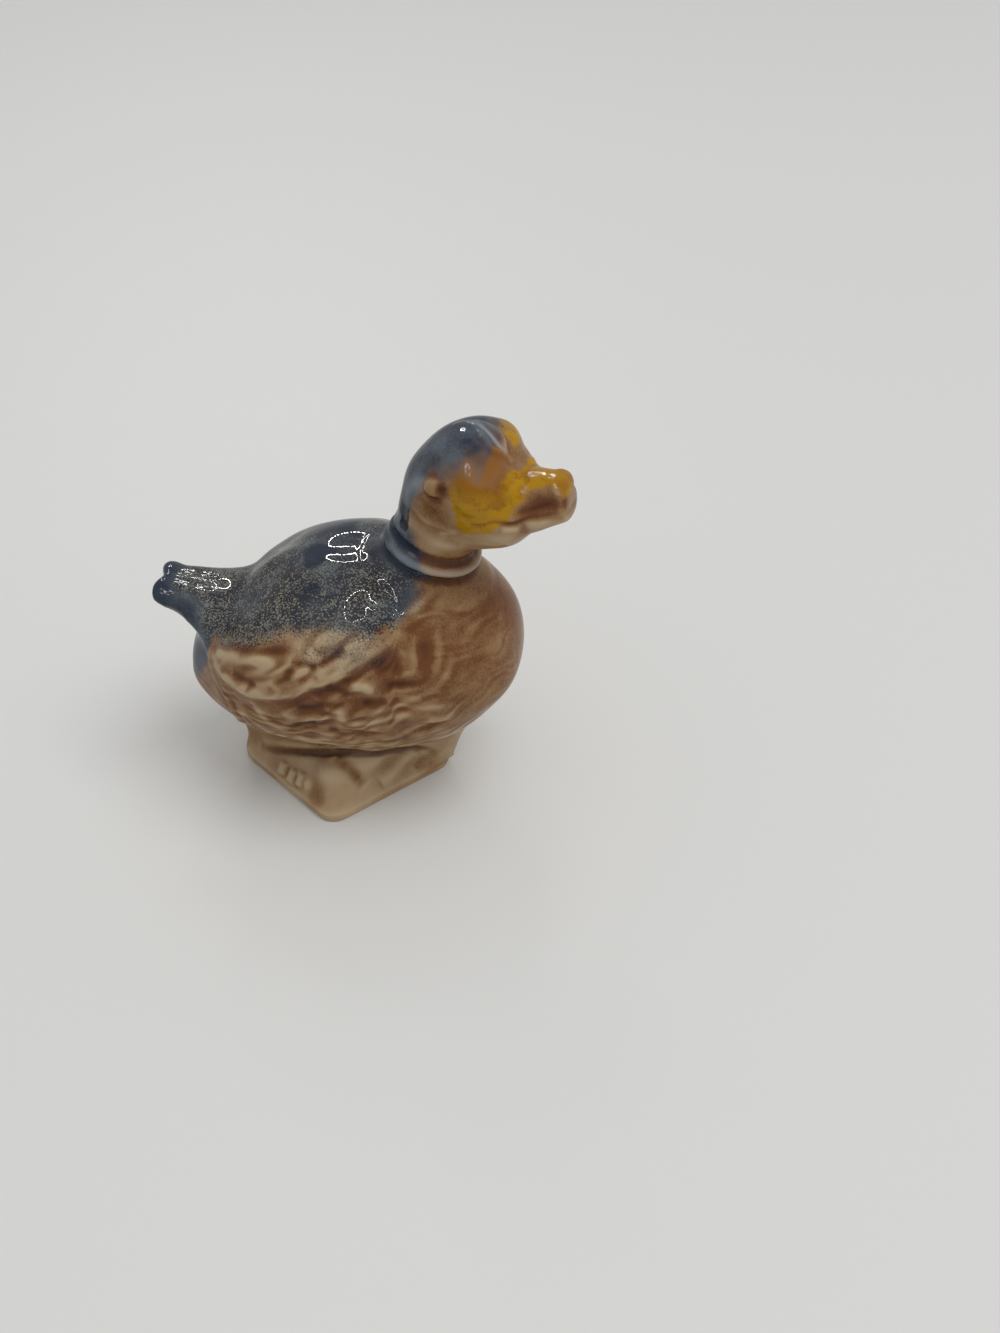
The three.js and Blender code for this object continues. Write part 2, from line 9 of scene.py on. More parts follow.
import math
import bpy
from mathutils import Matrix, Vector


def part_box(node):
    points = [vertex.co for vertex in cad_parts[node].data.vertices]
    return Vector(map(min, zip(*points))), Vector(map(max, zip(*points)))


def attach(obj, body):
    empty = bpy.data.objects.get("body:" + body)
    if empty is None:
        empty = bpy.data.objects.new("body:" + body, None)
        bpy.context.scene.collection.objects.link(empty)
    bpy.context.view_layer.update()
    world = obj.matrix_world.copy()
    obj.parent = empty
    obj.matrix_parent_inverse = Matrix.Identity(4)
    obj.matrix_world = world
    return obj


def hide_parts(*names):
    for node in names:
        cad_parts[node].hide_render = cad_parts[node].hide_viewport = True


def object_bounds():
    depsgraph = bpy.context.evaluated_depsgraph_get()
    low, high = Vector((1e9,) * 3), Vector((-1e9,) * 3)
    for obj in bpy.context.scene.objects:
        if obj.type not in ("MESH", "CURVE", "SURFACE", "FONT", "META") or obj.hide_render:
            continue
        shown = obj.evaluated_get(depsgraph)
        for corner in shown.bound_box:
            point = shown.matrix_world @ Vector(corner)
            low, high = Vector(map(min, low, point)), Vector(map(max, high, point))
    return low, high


bl_info = {
    "name": "Porcelain Duck",
    "version": (1, 0, 0),
    "blender": (4, 5, 0),
    "location": "3D View > Sidebar > Duck",
    "description": "Builds a glazed porcelain duck around its frame",
    "category": "Object",
}

import bmesh
import bpy
import numpy as np
from bpy.props import FloatProperty, FloatVectorProperty, IntProperty, PointerProperty
from mathutils import Matrix, Vector
from mathutils.kdtree import KDTree

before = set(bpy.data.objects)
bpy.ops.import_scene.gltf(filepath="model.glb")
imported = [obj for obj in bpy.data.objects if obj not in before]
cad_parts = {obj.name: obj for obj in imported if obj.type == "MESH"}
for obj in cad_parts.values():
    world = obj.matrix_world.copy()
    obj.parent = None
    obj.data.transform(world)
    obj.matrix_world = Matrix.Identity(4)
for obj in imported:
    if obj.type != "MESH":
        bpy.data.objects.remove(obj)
CAD_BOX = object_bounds()

MM = 0.001
# Vertices this near are one; and how many millimetres the plinth reaches behind home.
SAME_POINT = 0.002 * MM
PLINTH_BACK = 8.9
HOME = Vector((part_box("plinth")[0].x / MM + PLINTH_BACK, 0, 0))
BOX_LOW = np.array(CAD_BOX[0]) / MM - np.array(HOME)
BOX_HIGH = np.array(CAD_BOX[1]) / MM - np.array(HOME)

# The head's own middle and how it is turned: features of the head are placed as (forward, out, up).
HEAD_MIDDLE = np.array((11.65, 0, 29.84))
HEAD_TURN = math.radians(12)
HEAD_TIP = math.radians(8)
HEAD_AXES = np.array(Matrix.Rotation(-HEAD_TURN, 3, "Z") @ Matrix.Rotation(-HEAD_TIP, 3, "Y"))
EYE = (-1.3, 4.7, 1.8)

# Where the neck stands in the body, which way it leans, and which way the head leaves it.
NECK_FOOT = np.array((8.6, 0, 23.7))
NECK_LEAN = math.radians(18)
NECK_AXIS = np.array((math.sin(NECK_LEAN), 0, math.cos(NECK_LEAN)))
THROAT_WAY = (0.58, 0, 0.81)

# Passes of softening that do not follow the user's sizes: after luting, after carving, and for
# finding what stands out of the clay. Weights that limit a softening go up in so many steps.
FACET_PASSES = 6
FINISH_PASSES = 3
RELIEF_PASSES = 60
WEIGHT_STEPS = 16

# How far filled joints are raised in the end, and the share of the luting that is taken back.
JOINT_RISE = 0.14
LUTING_TAKEN_BACK = 0.75

# Lines along which the clay is padded, and those along which one form is joined to the next.
SPINE = [(-7.2, 0, 18.2), (-5, 0, 19.7), (-3, 0, 20.9), (-1, 0, 21.8), (1, 0, 22.5)]
WING_CREST = [(-7, 4.6, 17.8), (-5.1, 4.3, 19.7), (-3.4, 3.6, 20.9)]
TAIL_JOINT = [
    (-9.6, 0, 18.6), (-9.8, 2.5, 17.9), (-10.4, 4.4, 16.4), (-11.2, 3.6, 15), (-12, 0, 14.2),
]
THROAT_JOINT = [(-4.2, 0, -0.6), (-3.4, 3, -2), (-1.2, 3.8, -3.9), (1, 3, -5)]
BILL_JOINT = [(4.4, 0, 1.6), (4.3, 1.8, 1.2), (4.2, 2.9, -0.4), (4, 2.8, -2.4), (3.8, 0, -4.2)]

# The line that the wing's lower edge takes along the flank.
WING_EDGE = [
    (-10.3, 3, 14.4), (-8.8, 6, 14.5), (-7.4, 7.7, 14.1), (-5.9, 8.8, 13.9), (-4.9, 9.2, 13.8),
    (-3.3, 9.5, 14.1), (-1.9, 9.6, 14.5), (-0.6, 9.6, 15.1), (0.3, 9.5, 15.7), (1.6, 9, 16.2),
    (3, 8.7, 17), (4.4, 8.1, 17.9), (5.7, 7.6, 18.5), (6.5, 6.9, 19.3), (6.9, 5.6, 20.6),
]
# How far the wing's feathers slant, and how many rows the flank has.
FEATHER_SLANT = 0.75
FLANK_ROWS = 10
# Feathers on the wing and on the flank: a line along each, its width and its rise, less than 0
# where it is cut.
WING_FEATHERS = [
    ([(-8.8, 5.8, 14.9), (-7.2, 7, 15.8), (-5.4, 8.1, 16.5),
      (-3.8, 8.7, 16.9), (-2.4, 9.1, 17)], 0.45, 0.9),
    ([(0, 8.9, 18.3), (1.2, 9, 17.9)], 0.42, 1),
    ([(2.7, 8.8, 18), (1.6, 9.2, 17.2), (0.8, 9.4, 16.4)], 0.4, 1),
    ([(0.2, 9.3, 17.3), (-0.8, 9.4, 16.6), (-1.4, 9.6, 15.9)], 0.42, 0.9),
    ([(-1.7, 9.3, 16.7), (-2.3, 9.6, 15.7), (-3, 9.7, 14.9)], 0.4, 0.8),
    ([(2.5, 7.4, 20.2), (1.6, 8, 19.5), (0.6, 8.4, 18.9)], 0.45, 1),
    ([(5.3, 7.1, 19.8), (4.1, 7.8, 19.2), (2.9, 8.3, 18.6)], 0.45, 0.9),
    ([(-6.6, 8, 15), (-5.4, 8.8, 14.9), (-4.4, 9.3, 14.9)], 0.4, -1),
    ([(-1.3, 9.1, 17.6), (-0.1, 9.2, 17.4), (0.9, 9.2, 17.3)], 0.35, -0.9),
    ([(-0.9, 9.4, 17), (-1.9, 9.6, 16.1), (-2.6, 9.7, 15.3)], 0.35, -0.9),
    ([(2.9, 8.5, 18.8), (1.7, 9, 17.9), (0.9, 9.3, 17.3)], 0.32, -0.9),
    ([(-9.1, 4.9, 15.1), (-6.4, 7.2, 16.8), (-3.6, 8.2, 17.7), (-0.8, 8.6, 18.3)], 0.4, -0.8),
    ([(4.5, 7.9, 18.6), (3.4, 8.4, 18), (2.4, 8.9, 17.4)], 0.35, 0.7),
]
FLANK_FEATHERS = [
    ([(8.3, 6.7, 19.5), (8.2, 7.5, 18.2), (8.4, 8.1, 17.1),
      (7.7, 8.4, 16.6), (6.2, 8.8, 16.4)], 0.36, 0.65),
    ([(9.9, 6, 19.6), (10.2, 6.9, 18.2), (10.1, 7.5, 17.2),
      (9.4, 8.1, 16.2), (8.2, 8.6, 15.5), (6.4, 9, 15.2)], 0.36, 0.65),
    ([(11.1, 6.6, 18), (10.8, 7.5, 16.4), (9.8, 8.2, 15.2),
      (8.3, 8.7, 14.7), (6.9, 9, 14.6)], 0.34, 0.55),
    ([(9.9, 7.7, 16.8), (9, 8.3, 16), (7.7, 8.7, 15.9), (6.2, 8.9, 15.8)], 0.34, -0.9),
    ([(-2.4, 9.2, 11.7), (-0.8, 9.4, 12.1), (1.5, 9.5, 12.6)], 0.4, 0.9),
    ([(2.4, 9.6, 13.7), (2.4, 9.4, 12.2), (2.1, 9.1, 10.9)], 0.45, 0.9),
    ([(3.4, 9.5, 12.9), (4.9, 9.4, 13), (6.1, 9.3, 13.6),
      (7.7, 9, 14.2), (9, 8.6, 14.6)], 0.38, 0.9),
    ([(3.4, 9.2, 11.4), (5.7, 9.2, 12.4), (7.5, 9, 13.2),
      (9.2, 8.6, 13.6), (11.3, 7.7, 13.6)], 0.38, 0.8),
    ([(-5.2, 8.8, 13), (-4.6, 8.8, 11.6), (-3.7, 8.6, 10.6), (-2.4, 8.4, 9.7)], 0.38, 0.7),
    ([(-6.5, 8.1, 12.6), (-6.1, 7.8, 10.8), (-5.2, 7.6, 9.4),
      (-3.8, 7.4, 8.2), (-2, 7.4, 7.6)], 0.38, 0.7),
    ([(-0.6, 7.7, 8.1), (1.1, 8.4, 9.3), (2.3, 8.3, 9.2)], 0.35, 0.7),
    ([(3.9, 7.9, 8.8), (5.8, 8.3, 9.8), (7.9, 8.4, 10.9), (9.9, 8.2, 12.1)], 0.36, 0.7),
    ([(3.3, 9.2, 15.8), (4.3, 9.2, 15.6), (5.2, 9.2, 15.3)], 0.42, 1),
    ([(-1.2, 9.5, 13.2), (0, 9.6, 13.3), (1.3, 9.6, 13.6)], 0.38, -1.1),
    ([(1.4, 9.3, 15.2), (2.4, 9.3, 15.3), (3.2, 9.2, 14.9)], 0.36, -0.9),
    ([(4.3, 9.4, 14.1), (5.4, 9.3, 14.2), (6.3, 9.2, 14.5)], 0.36, -1.1),
    ([(-2.2, 8.8, 10.3), (-0.7, 9.3, 11.2), (0.4, 9.4, 11.4)], 0.36, -1),
    ([(1.2, 9, 10.9), (2.6, 9, 10.3), (4.3, 9, 10.8)], 0.34, -0.9),
    ([(5.2, 8.6, 17.1), (6.3, 8.3, 17.5), (7.3, 7.8, 18.2)], 0.55, -0.9),
]
# The leaf on the breast that the flank's rows gather round, and the line where those rows end.
LEAF = [(8.8, 6.8, 18.9), (9, 7.2, 18.2), (9.3, 7.5, 17.5)]
FLANK_FOOT = [
    (-9, 0, 5.5), (-5, 0, 4.4), (0, 0, 5.6), (4, 0, 6.6), (8, 0, 8.6), (11.4, 0, 10.4),
    (14, 0, 13),
]
# The flank's back edge, from the tail down to the plinth.
RUMP_EDGE = [
    (-12.3, 3, 16.7), (-10.9, 3.6, 15.5), (-9.5, 4.6, 14.2), (-8.2, 6.6, 12.8), (-7.4, 7.2, 11),
    (-7.2, 6.4, 8.6), (-7.3, 4.6, 6), (-7.6, 3.2, 4),
]
# The crease between foot and haunch, and the line below it where the painted shade is darkest.
CREASE = [
    (-7, 2, 1.6), (-5.1, 2.9, 2.2), (-2.2, 4.1, 3.3), (0.2, 5.3, 4.6), (1.9, 5, 5.2),
    (4.2, 3.7, 4.8), (6.6, 2.6, 4), (8.9, 1.1, 2.1),
]
SHADE_BELOW_CREASE = [
    (0.7, 5.6, 4.9), (1.9, 5.6, 5), (3.2, 5.2, 4.9), (4.4, 4.3, 4.4), (5.9, 3.2, 3.6),
    (7.3, 2.1, 2.5),
]
# The valley between a foot's two webs, the start and end of each long toe, and the way to its gap.
FOOT_VALLEY = [(0.8, 5.8, 4.8), (1.6, 6.2, 4.2), (2.4, 6.2, 3.2), (3.2, 6.2, 2.1)]
TOES = [
    [(-4.5, 4.2, 2), (-4.7, 4.9, 1.1)],
    [(-3.4, 5.1, 2.1), (-3.8, 5.7, 1.1)],
    [(-2.5, 5.7, 2.3), (-2.9, 6.3, 1.3)],
]
TOE_GAP = (0.5, 0.4, 0.1)
# The crest over the skull, the jaw's edge and the mouth.
SKULL_CREST = [
    (-0.6, 0, 4.6), (0.8, 0, 5.1), (1.6, 0, 5), (2.3, 0, 4.4), (2.9, 0, 3.4), (3.3, 0, 2.5),
    (3.8, 0, 1.7),
]
JAW = [
    (-3.9, 2.9, -0.3), (-3, 3.6, -0.8), (-2.4, 3.9, -1.5), (-1.8, 3.9, -1.9), (-1.2, 3.8, -2.5),
    (-0.9, 3.6, -3.1),
]
MOUTH = [
    (1.6, 4.4, -1.4), (2.4, 4.4, -1.3), (3.3, 4.2, -1.2), (3.8, 3.9, -1.3), (4.5, 3, -1.7),
    (5.2, 2.7, -1.6), (5.9, 2.4, -1.5), (6.8, 2.1, -1.4), (7.7, 1.9, -1.3),
]
# The lowest reach of the spray: (along the duck, height), and on the head (forward, up).
SPRAY_EDGE = [
    (-14, 8), (-11, 11), (-9.8, 13.5), (-9.3, 15.6), (-6.8, 16.9), (-4, 18.4), (-1.5, 19.7),
    (0.2, 20), (1.1, 20.3), (3, 20), (4.8, 19.5), (6.3, 19.8), (7.1, 20.3), (7.7, 21),
]
CROWN_EDGE = [
    (-4.5, -2.5), (-3.5, -0.2), (-2.5, 1.6), (-1.5, 2.7), (-0.5, 3.1), (0.2, 3.2), (0.9, 3.6),
    (1.6, 4.2), (2.3, 4.1), (2.8, 3.8), (3.2, 6),
]
# Where the spray was wiped off the wing, the brown under its edge, and its pool behind the jaw.
WIPED = (2.6, 8.4, 18.5)
UNDER_SPRAY = [(-9.1, 4.4, 14.9), (-6, 7.2, 16.6), (-3.2, 8, 17.9), (-0.6, 8.5, 18.2)]
JAW_LEAF = [(6.9, 1.9, 28.7), (6.7, 2.2, 27.4), (6.8, 2.5, 26.2)]
# Where the brown wash lies thick or thin: how much, where and how far it reaches.
BODY_WASHES = [
    (0.5, (-0.5, 7.6, 1.5), (1.3, 1.1, 1.1)),
    (0.3, (8.4, 1.5, 1.8), (1.6, 1.2, 1.1)),
    (0.4, (1.2, 6, 4.4), (0.9, 0.9, 0.7)),
    (0.45, (2.4, 6.3, 3.1), (0.7, 1, 0.9)),
    (0.9, (9, 7.2, 18.2), (0.6, 1, 1)),
    (0.5, (6.3, 8.2, 17.6), (1.4, 1, 0.9)),
    (0.4, (0, 9.6, 13.3), (1.8, 1, 0.8)),
    (0.4, (-0.9, 9.2, 10.9), (1.6, 1, 0.7)),
    (0.4, (5.4, 9.3, 14.2), (1.5, 1, 0.6)),
    (0.4, (2.3, 9.2, 15.3), (1.3, 1, 0.7)),
    (0.3, (-2.2, 9.6, 16), (1, 1, 1)),
    (0.4, (-5.5, 8.7, 15), (1.4, 1, 0.6)),
    (-0.3, (-8.6, 6.4, 14), (1.5, 1.5, 1.2)),
    (0.35, (9, 5.6, 20.6), (1.4, 1.4, 1.3)),
    (-0.5, (-3.8, 5.2, 1.7), (1.6, 1.4, 1.1)),
    (-0.3, (10.6, 0, 3), (2.4, 2.6, 2)),
    (-0.42, (2, 5.5, 1.6), (7, 5, 2.4)),
    (-0.35, (9, 1, 4.5), (3, 3, 3)),
    (-0.2, (1, 6.5, 6.8), (6, 3, 1.2)),
]
HEAD_WASHES = [
    (0.8, (2.6, 0.9, 4), (0.9, 0.8, 0.9)),
    (1.2, (-0.1, 4.7, 1.8), (0.6, 0.8, 0.45)),
    (0.4, (-0.9, 4.2, 3), (0.9, 0.8, 0.5)),
    (0.45, (-1.4, 4.7, 1.8), (0.6, 0.8, 0.8)),
    (0.5, (-1.2, 4.4, 0.2), (1.2, 1, 1)),
    (0.3, (-0.8, 4.3, -1.2), (1.2, 1, 1)),
    (1, (6.9, 1.9, -0.5), (1.6, 1.2, 0.9)),
    (0.6, (5.8, 2.4, -1), (1, 0.9, 0.4)),
    (0.8, (8.3, 1.3, -0.7), (0.3, 0.4, 0.4)),
    (0.35, (2.7, 4.5, -0.9), (0.5, 0.6, 0.5)),
    (-0.55, (2.6, 3.3, -3.2), (2.8, 2, 1.1)),
    (-0.35, (6.6, 2.2, -2.2), (1.6, 1, 0.5)),
]


def linear(value):
    """A colour channel as a screen shows it, made linear."""
    return value / 12.92 if value <= 0.04045 else ((value + 0.055) / 1.055) ** 2.4


def tint(code):
    """A colour written as on a paint card, such as "b79b28"."""
    return tuple(linear(int(code[i : i + 2], 16) / 255) for i in (0, 2, 4))


def colour(name, description, code):
    """A colour that a user can change."""
    return FloatVectorProperty(
        name=name, description=description, default=tint(code), subtype="COLOR", min=0, max=1
    )


def length(name, description, default):
    """A length that a user can change, given in millimetres."""
    return FloatProperty(
        name=name, description=description, default=default * MM, min=0, unit="LENGTH", precision=5
    )


def number(name, description, default):
    """A whole number that a user can change."""
    return IntProperty(name=name, description=description, default=default, min=0)


def strength(name, description, default):
    """The strength of a light, which a user can change."""
    return FloatProperty(name=name, description=description, default=default, min=0)


class DuckClay(bpy.types.PropertyGroup):
    """Sizes of the clay and of its carving."""

    cell: length("Skin Cell", "Size of a facet of the clay skin", 0.145)
    luting: length("Luting", "How far the forms are swelled to close the seams between them", 0.22)
    softening: number("Softening", "Passes that soften the large forms", 55)
    fillet: number("Fillets", "Passes that fill the joints of the forms", 350)
    feather_depth: length("Feather Depth", "How deep the flank's feathers are carved", 0.14)
    feather_pitch: length("Feather Pitch", "Distance from one row of feathers to the next", 1.5)
    ridge_height: length("Ridge Height", "How far the wing's edge stands up", 0.22)


class DuckGlaze(bpy.types.PropertyGroup):
    """Colours of the glazes."""

    cream: colour("Cream", "Bare clay on the crests", "bda888")
    fawn: colour("Fawn", "Thin wash over the clay", "91714e")
    brown: colour("Brown", "Wash that has run into the hollows", "643616")
    # Umber is also the painted shade in the feet's creases and along the plinth's edge.
    umber_and_painted_shade: colour("Umber", "Wash in the deepest creases", "3d210f")
    slate: colour("Slate", "Blue-grey spray on shoulders, tail and head", "54626d")
    soot: colour("Soot", "Dark grains of the spray on the back", "0c1118")
    olive: colour("Olive", "Pale grains of the spray on the back", "9d977d")
    # Mist is also the colour of the painted highlights on the skull's crest and the nape.
    mist_and_painted_highlight: colour("Mist", "Where the spray was wiped off again", "a3acb1")
    navy: colour("Navy", "Spray that has pooled", "141f33")
    yellow: colour("Yellow", "Bill and cheeks", "a97d00")
    ochre: colour("Ochre", "Forehead, where yellow meets brown", "804e0c")
    biscuit: colour("Biscuit", "Unglazed clay under the plinth", "cfc6b8")


class DuckStudio(bpy.types.PropertyGroup):
    """The light and the floor."""

    room: strength("Room", "Strength of the light from all round", 0.57)
    softbox: strength("Softbox", "Power of the light overhead", 1.85)
    lamp: strength("Ring Lamp", "Strength of the ring of small lamps", 160)
    floor: colour("Floor", "Colour of the floor", "d9d9d7")


# Numbers along and around the clay


def smooth(value, low, high):
    """From 0 at low to 1 at high, with soft ends."""
    share = np.clip((value - low) / (high - low), 0, 1)
    return share * share * (3 - 2 * share)


def fade(value, low, high):
    """From 1 at low to 0 at high, with soft ends."""
    return 1 - smooth(value, low, high)


def hill(distance, width):
    """1 at no distance, and softly less on both sides."""
    return np.exp(-((distance / width) ** 2))


def mottle(points, size, seed=0, waves=18):
    """Soft random values, about -1 to 1, that change over about that size: a sum of waves."""
    draw = np.random.default_rng(seed)
    way = draw.normal(size=(waves, 3))
    way *= draw.uniform(0.6, 1.5, (waves, 1)) / np.linalg.norm(way, axis=1, keepdims=True)
    start = draw.uniform(0, math.tau, waves)
    total = np.zeros(len(points))
    for each, phase in zip(way, start):
        total += np.cos(points @ each * (math.pi / size) + phase)
    return np.clip(total / math.sqrt(waves), -1.5, 1.5)


def spline(path, steps=6):
    """More points on a smooth line through a path."""
    path = np.asarray(path, float)
    ends = np.vstack((2 * path[0] - path[1], path, 2 * path[-1] - path[-2]))
    t = np.linspace(0, 1, steps, endpoint=False)[:, None]
    runs = []
    for a, b, c, d in zip(ends, ends[1:], ends[2:], ends[3:]):
        square = (2 * a - 5 * b + 4 * c - d) * t**2
        cube = (3 * b - 3 * c + d - a) * t**3
        runs.append(0.5 * (2 * b + (c - a) * t + square + cube))
    return np.vstack((*runs, path[-1:]))


def reach(points, line):
    """How far each point is from a line, and the share of the line's way that it is level with."""
    nearest = np.full(len(points), 1e9)
    share = np.zeros(len(points))
    last = len(line) - 1
    for i, (start, end) in enumerate(zip(line, line[1:])):
        run = end - start
        t = np.clip((points - start) @ run / max(run @ run, 1e-9), 0, 1)
        distance = np.linalg.norm(points - start - t[:, None] * run, axis=1)
        closer = distance < nearest
        nearest[closer] = distance[closer]
        share[closer] = (i + t[closer]) / last
    return nearest, share


def vectors(items, name):
    """A vector of each of many items, such as where each vertex is."""
    values = np.empty(len(items) * 3, np.float32)
    items.foreach_get(name, values)
    return values.reshape(-1, 3)


class Clay:
    """The skin's points, as they lie and with the duck's right folded onto its left."""

    def __init__(self, mesh):
        self.mesh = mesh
        self.read()

    def read(self):
        """Takes the points and normals of the mesh, and finds them in the other axes."""
        self.points = vectors(self.mesh.vertices, "co").astype(float)
        self.normals = vectors(self.mesh.vertices, "normal").astype(float)
        self.folded = self.points * (1, 0, 1) + abs(self.points) * (0, 1, 0)
        head = (self.points - HEAD_MIDDLE) @ HEAD_AXES
        self.leftwards = head[:, 1]
        self.head = head * (1, 0, 1) + abs(head) * (0, 1, 0)
        # How far over the neck's foot each point is, and how far aside of the neck's axis.
        from_neck = self.points - NECK_FOOT
        self.over = from_neck @ NECK_AXIS
        self.aside = np.linalg.norm(from_neck - self.over[:, None] * NECK_AXIS, axis=1)
        tree = KDTree(len(self.points))
        for i, point in enumerate(self.folded):
            tree.insert(point, i)
        tree.balance()
        self.tree = tree
        self.lift = np.zeros(len(self.points))

    def write(self):
        """Puts the points into the mesh."""
        self.mesh.vertices.foreach_set("co", self.points.astype(np.float32).ravel())
        self.mesh.update()

    def press(self):
        """Moves the skin out by what the carving has raised, and starts again from there."""
        self.points += self.normals * self.lift[:, None]
        self.write()
        self.read()

    def on_skin(self, path, on_head):
        """A path laid on the clay: each of its points goes to the nearest point of the skin."""
        laid = []
        for point in path:
            point = np.asarray(point, float)
            if on_head:
                world = HEAD_AXES @ point + HEAD_MIDDLE
                side = HEAD_AXES @ (point * (1, -1, 1)) + HEAD_MIDDLE
                seek = world if abs(world[1]) >= abs(side[1]) else side
                laid.append(self.head[self.tree.find(seek * (1, 0, 1) + abs(seek) * (0, 1, 0))[1]])
            else:
                laid.append(self.folded[self.tree.find(point)[1]])
        return np.array(laid)

    def along(self, path, width, on_head=False):
        """How much of a stroke of that width each point gets, from 0 to 1."""
        points = self.head if on_head else self.folded
        line = spline(self.on_skin(path, on_head))
        margin = 3 * width
        near = np.all((points > line.min(0) - margin) & (points < line.max(0) + margin), axis=1)
        amount = np.zeros(len(points))
        distance, share = reach(points[near], line)
        ends = np.clip(4 * np.minimum(share, 1 - share), 0, 1) ** 0.5
        amount[near] = hill(distance, width) * ends
        return amount

    def spot(self, centre, radii, on_head=False):
        """How much of a soft round daub each point gets."""
        points = self.head if on_head else self.folded
        return np.exp(-(((points - centre) / radii) ** 2).sum(1))

    def stroke(self, rise, path, width, on_head=False):
        """Raises the clay along a path, or cuts it where the rise is less than 0."""
        self.lift += rise * self.along(path, width, on_head)

    def daub(self, rise, centre, radii, on_head=False):
        """Raises the clay round a place, or cuts it where the rise is less than 0."""
        self.lift += rise * self.spot(centre, radii, on_head)

    def curve_height(self, path):
        """The height of a line along the flank, at each point's own distance along the duck."""
        path = np.asarray(path)
        return np.interp(self.folded[:, 0], path[:, 0], path[:, 2])

    def proud_of(self, mesh):
        """How far each point stands out of a softer mesh, which is deleted."""
        level = vectors(mesh.vertices, "co")
        bpy.data.meshes.remove(mesh)
        return ((self.points - level) * self.normals).sum(1)

    def store(self, name, values):
        """Keeps a value of each point in the mesh, for the glazes."""
        layer = self.mesh.attributes.new(name, "FLOAT", "POINT")
        layer.data.foreach_set("value", np.asarray(values, np.float32))


# Clay skin


def placed(name, data):
    """A new object in the scene."""
    made = bpy.data.objects.new(name, data)
    bpy.context.scene.collection.objects.link(made)
    return made


def mesh_from(bm, name):
    """A new mesh made from a bmesh, which is freed."""
    mesh = bpy.data.meshes.new(name)
    bm.to_mesh(mesh)
    bm.free()
    return mesh


def clay_copy(node, swelling):
    """A merged copy of a node's mesh in millimetres about home, swelled a little."""
    bm = bmesh.new()
    bm.from_mesh(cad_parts[node].data)
    bmesh.ops.remove_doubles(bm, verts=bm.verts, dist=SAME_POINT)
    bmesh.ops.scale(bm, vec=Vector((1, 1, 1)) / MM, verts=bm.verts)
    bmesh.ops.translate(bm, vec=-HOME, verts=bm.verts)
    bm.normal_update()
    for vertex in bm.verts:
        vertex.co += vertex.normal * swelling
    return bm


def modified(mesh, kind, settings, weights=None):
    """A mesh put through a modifier. Weights limit what it does at each point."""
    piece = placed("clay", mesh)
    modifier = piece.modifiers.new(kind.title(), kind)
    for name, value in settings.items():
        setattr(modifier, name, value)
    if weights is not None:
        group = piece.vertex_groups.new(name="weights")
        for step in range(1, WEIGHT_STEPS + 1):
            chosen = np.nonzero(np.round(weights * WEIGHT_STEPS) == step)[0]
            group.add(chosen.tolist(), step / WEIGHT_STEPS, "REPLACE")
        modifier.vertex_group = "weights"
    bpy.context.view_layer.update()
    evaluated = piece.evaluated_get(bpy.context.evaluated_depsgraph_get())
    result = bpy.data.meshes.new_from_object(evaluated)
    bpy.data.objects.remove(piece)
    return result


def softened(mesh, passes, weights=None):
    """A mesh with its relief softened."""
    return modified(mesh, "SMOOTH", {"factor": 0.5, "iterations": passes}, weights)


def keep_largest(mesh):
    """Deletes all but the largest connected skin, such as bubbles left inside the clay."""
    bm = bmesh.new()
    bm.from_mesh(mesh)
    unseen = set(bm.verts)
    shells = []
    while unseen:
        shell = set()
        edge = {next(iter(unseen))}
        while edge:
            shell |= edge
            edge = {link.other_vert(v) for v in edge for link in v.link_edges} - shell
        unseen -= shell
        shells.append(shell)
    shells.sort(key=len)
    for shell in shells[:-1]:
        bmesh.ops.delete(bm, geom=list(shell), context="VERTS")
    bm.to_mesh(mesh)
    bm.free()


def luted_skin(sizes):
    """All the forms as one closed skin."""
    joined = bmesh.new()
    loose = bpy.data.meshes.new("forms")
    for node in sorted(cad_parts):
        form = clay_copy(node, sizes.luting / MM)
        form.to_mesh(loose)
        form.free()
        joined.from_mesh(loose)
    joined.to_mesh(loose)
    joined.free()
    skin = modified(loose, "REMESH", {"mode": "VOXEL", "voxel_size": sizes.cell / MM})
    keep_largest(skin)
    return skin


def small_forms(clay):
    """Where forms are too small to be softened as the large ones are."""
    x, _, z = clay.folded.T
    eye = smooth(-np.linalg.norm(clay.head - EYE, axis=1), -1.9, -1.2)
    bill = smooth(clay.head[:, 0], 4.4, 5.4)
    ring = smooth(-abs(clay.over), -1.7, -1) * smooth(-clay.aside, -5.5, -5)
    tail = smooth(-x, 13, 14)
    rim = smooth(-z, -1.3, -0.9)
    return np.clip(eye + bill + ring + tail + rim, 0, 1)


def pad_joints(clay):
    """Clay added where the belly meets the haunches, and on back, breast, nape and plinth."""
    x, y, z = clay.folded.T
    clay.lift += 0.5 * hill(z - 6, 1.3) * smooth(y, 1.5, 3.5) * fade(x, 8, 10)
    clay.lift += 0.45 * hill(z - 7, 2) * smooth(x, 8, 10.5)
    clay.daub(0.38, (2, 0, 22.6), (2.8, 4.5, 3))
    clay.stroke(0.9, SPINE, 2.3)
    clay.stroke(-0.3, WING_CREST, 1.2)
    clay.daub(0.95, (13.4, 1.5, 12.7), (2.6, 5, 2.3))
    clay.daub(0.35, (6.7, 1.4, 27.9), (1.5, 2.2, 2.4))
    clay.daub(0.3, (9.5, 0.5, 1.9), (0.9, 1.5, 0.7))


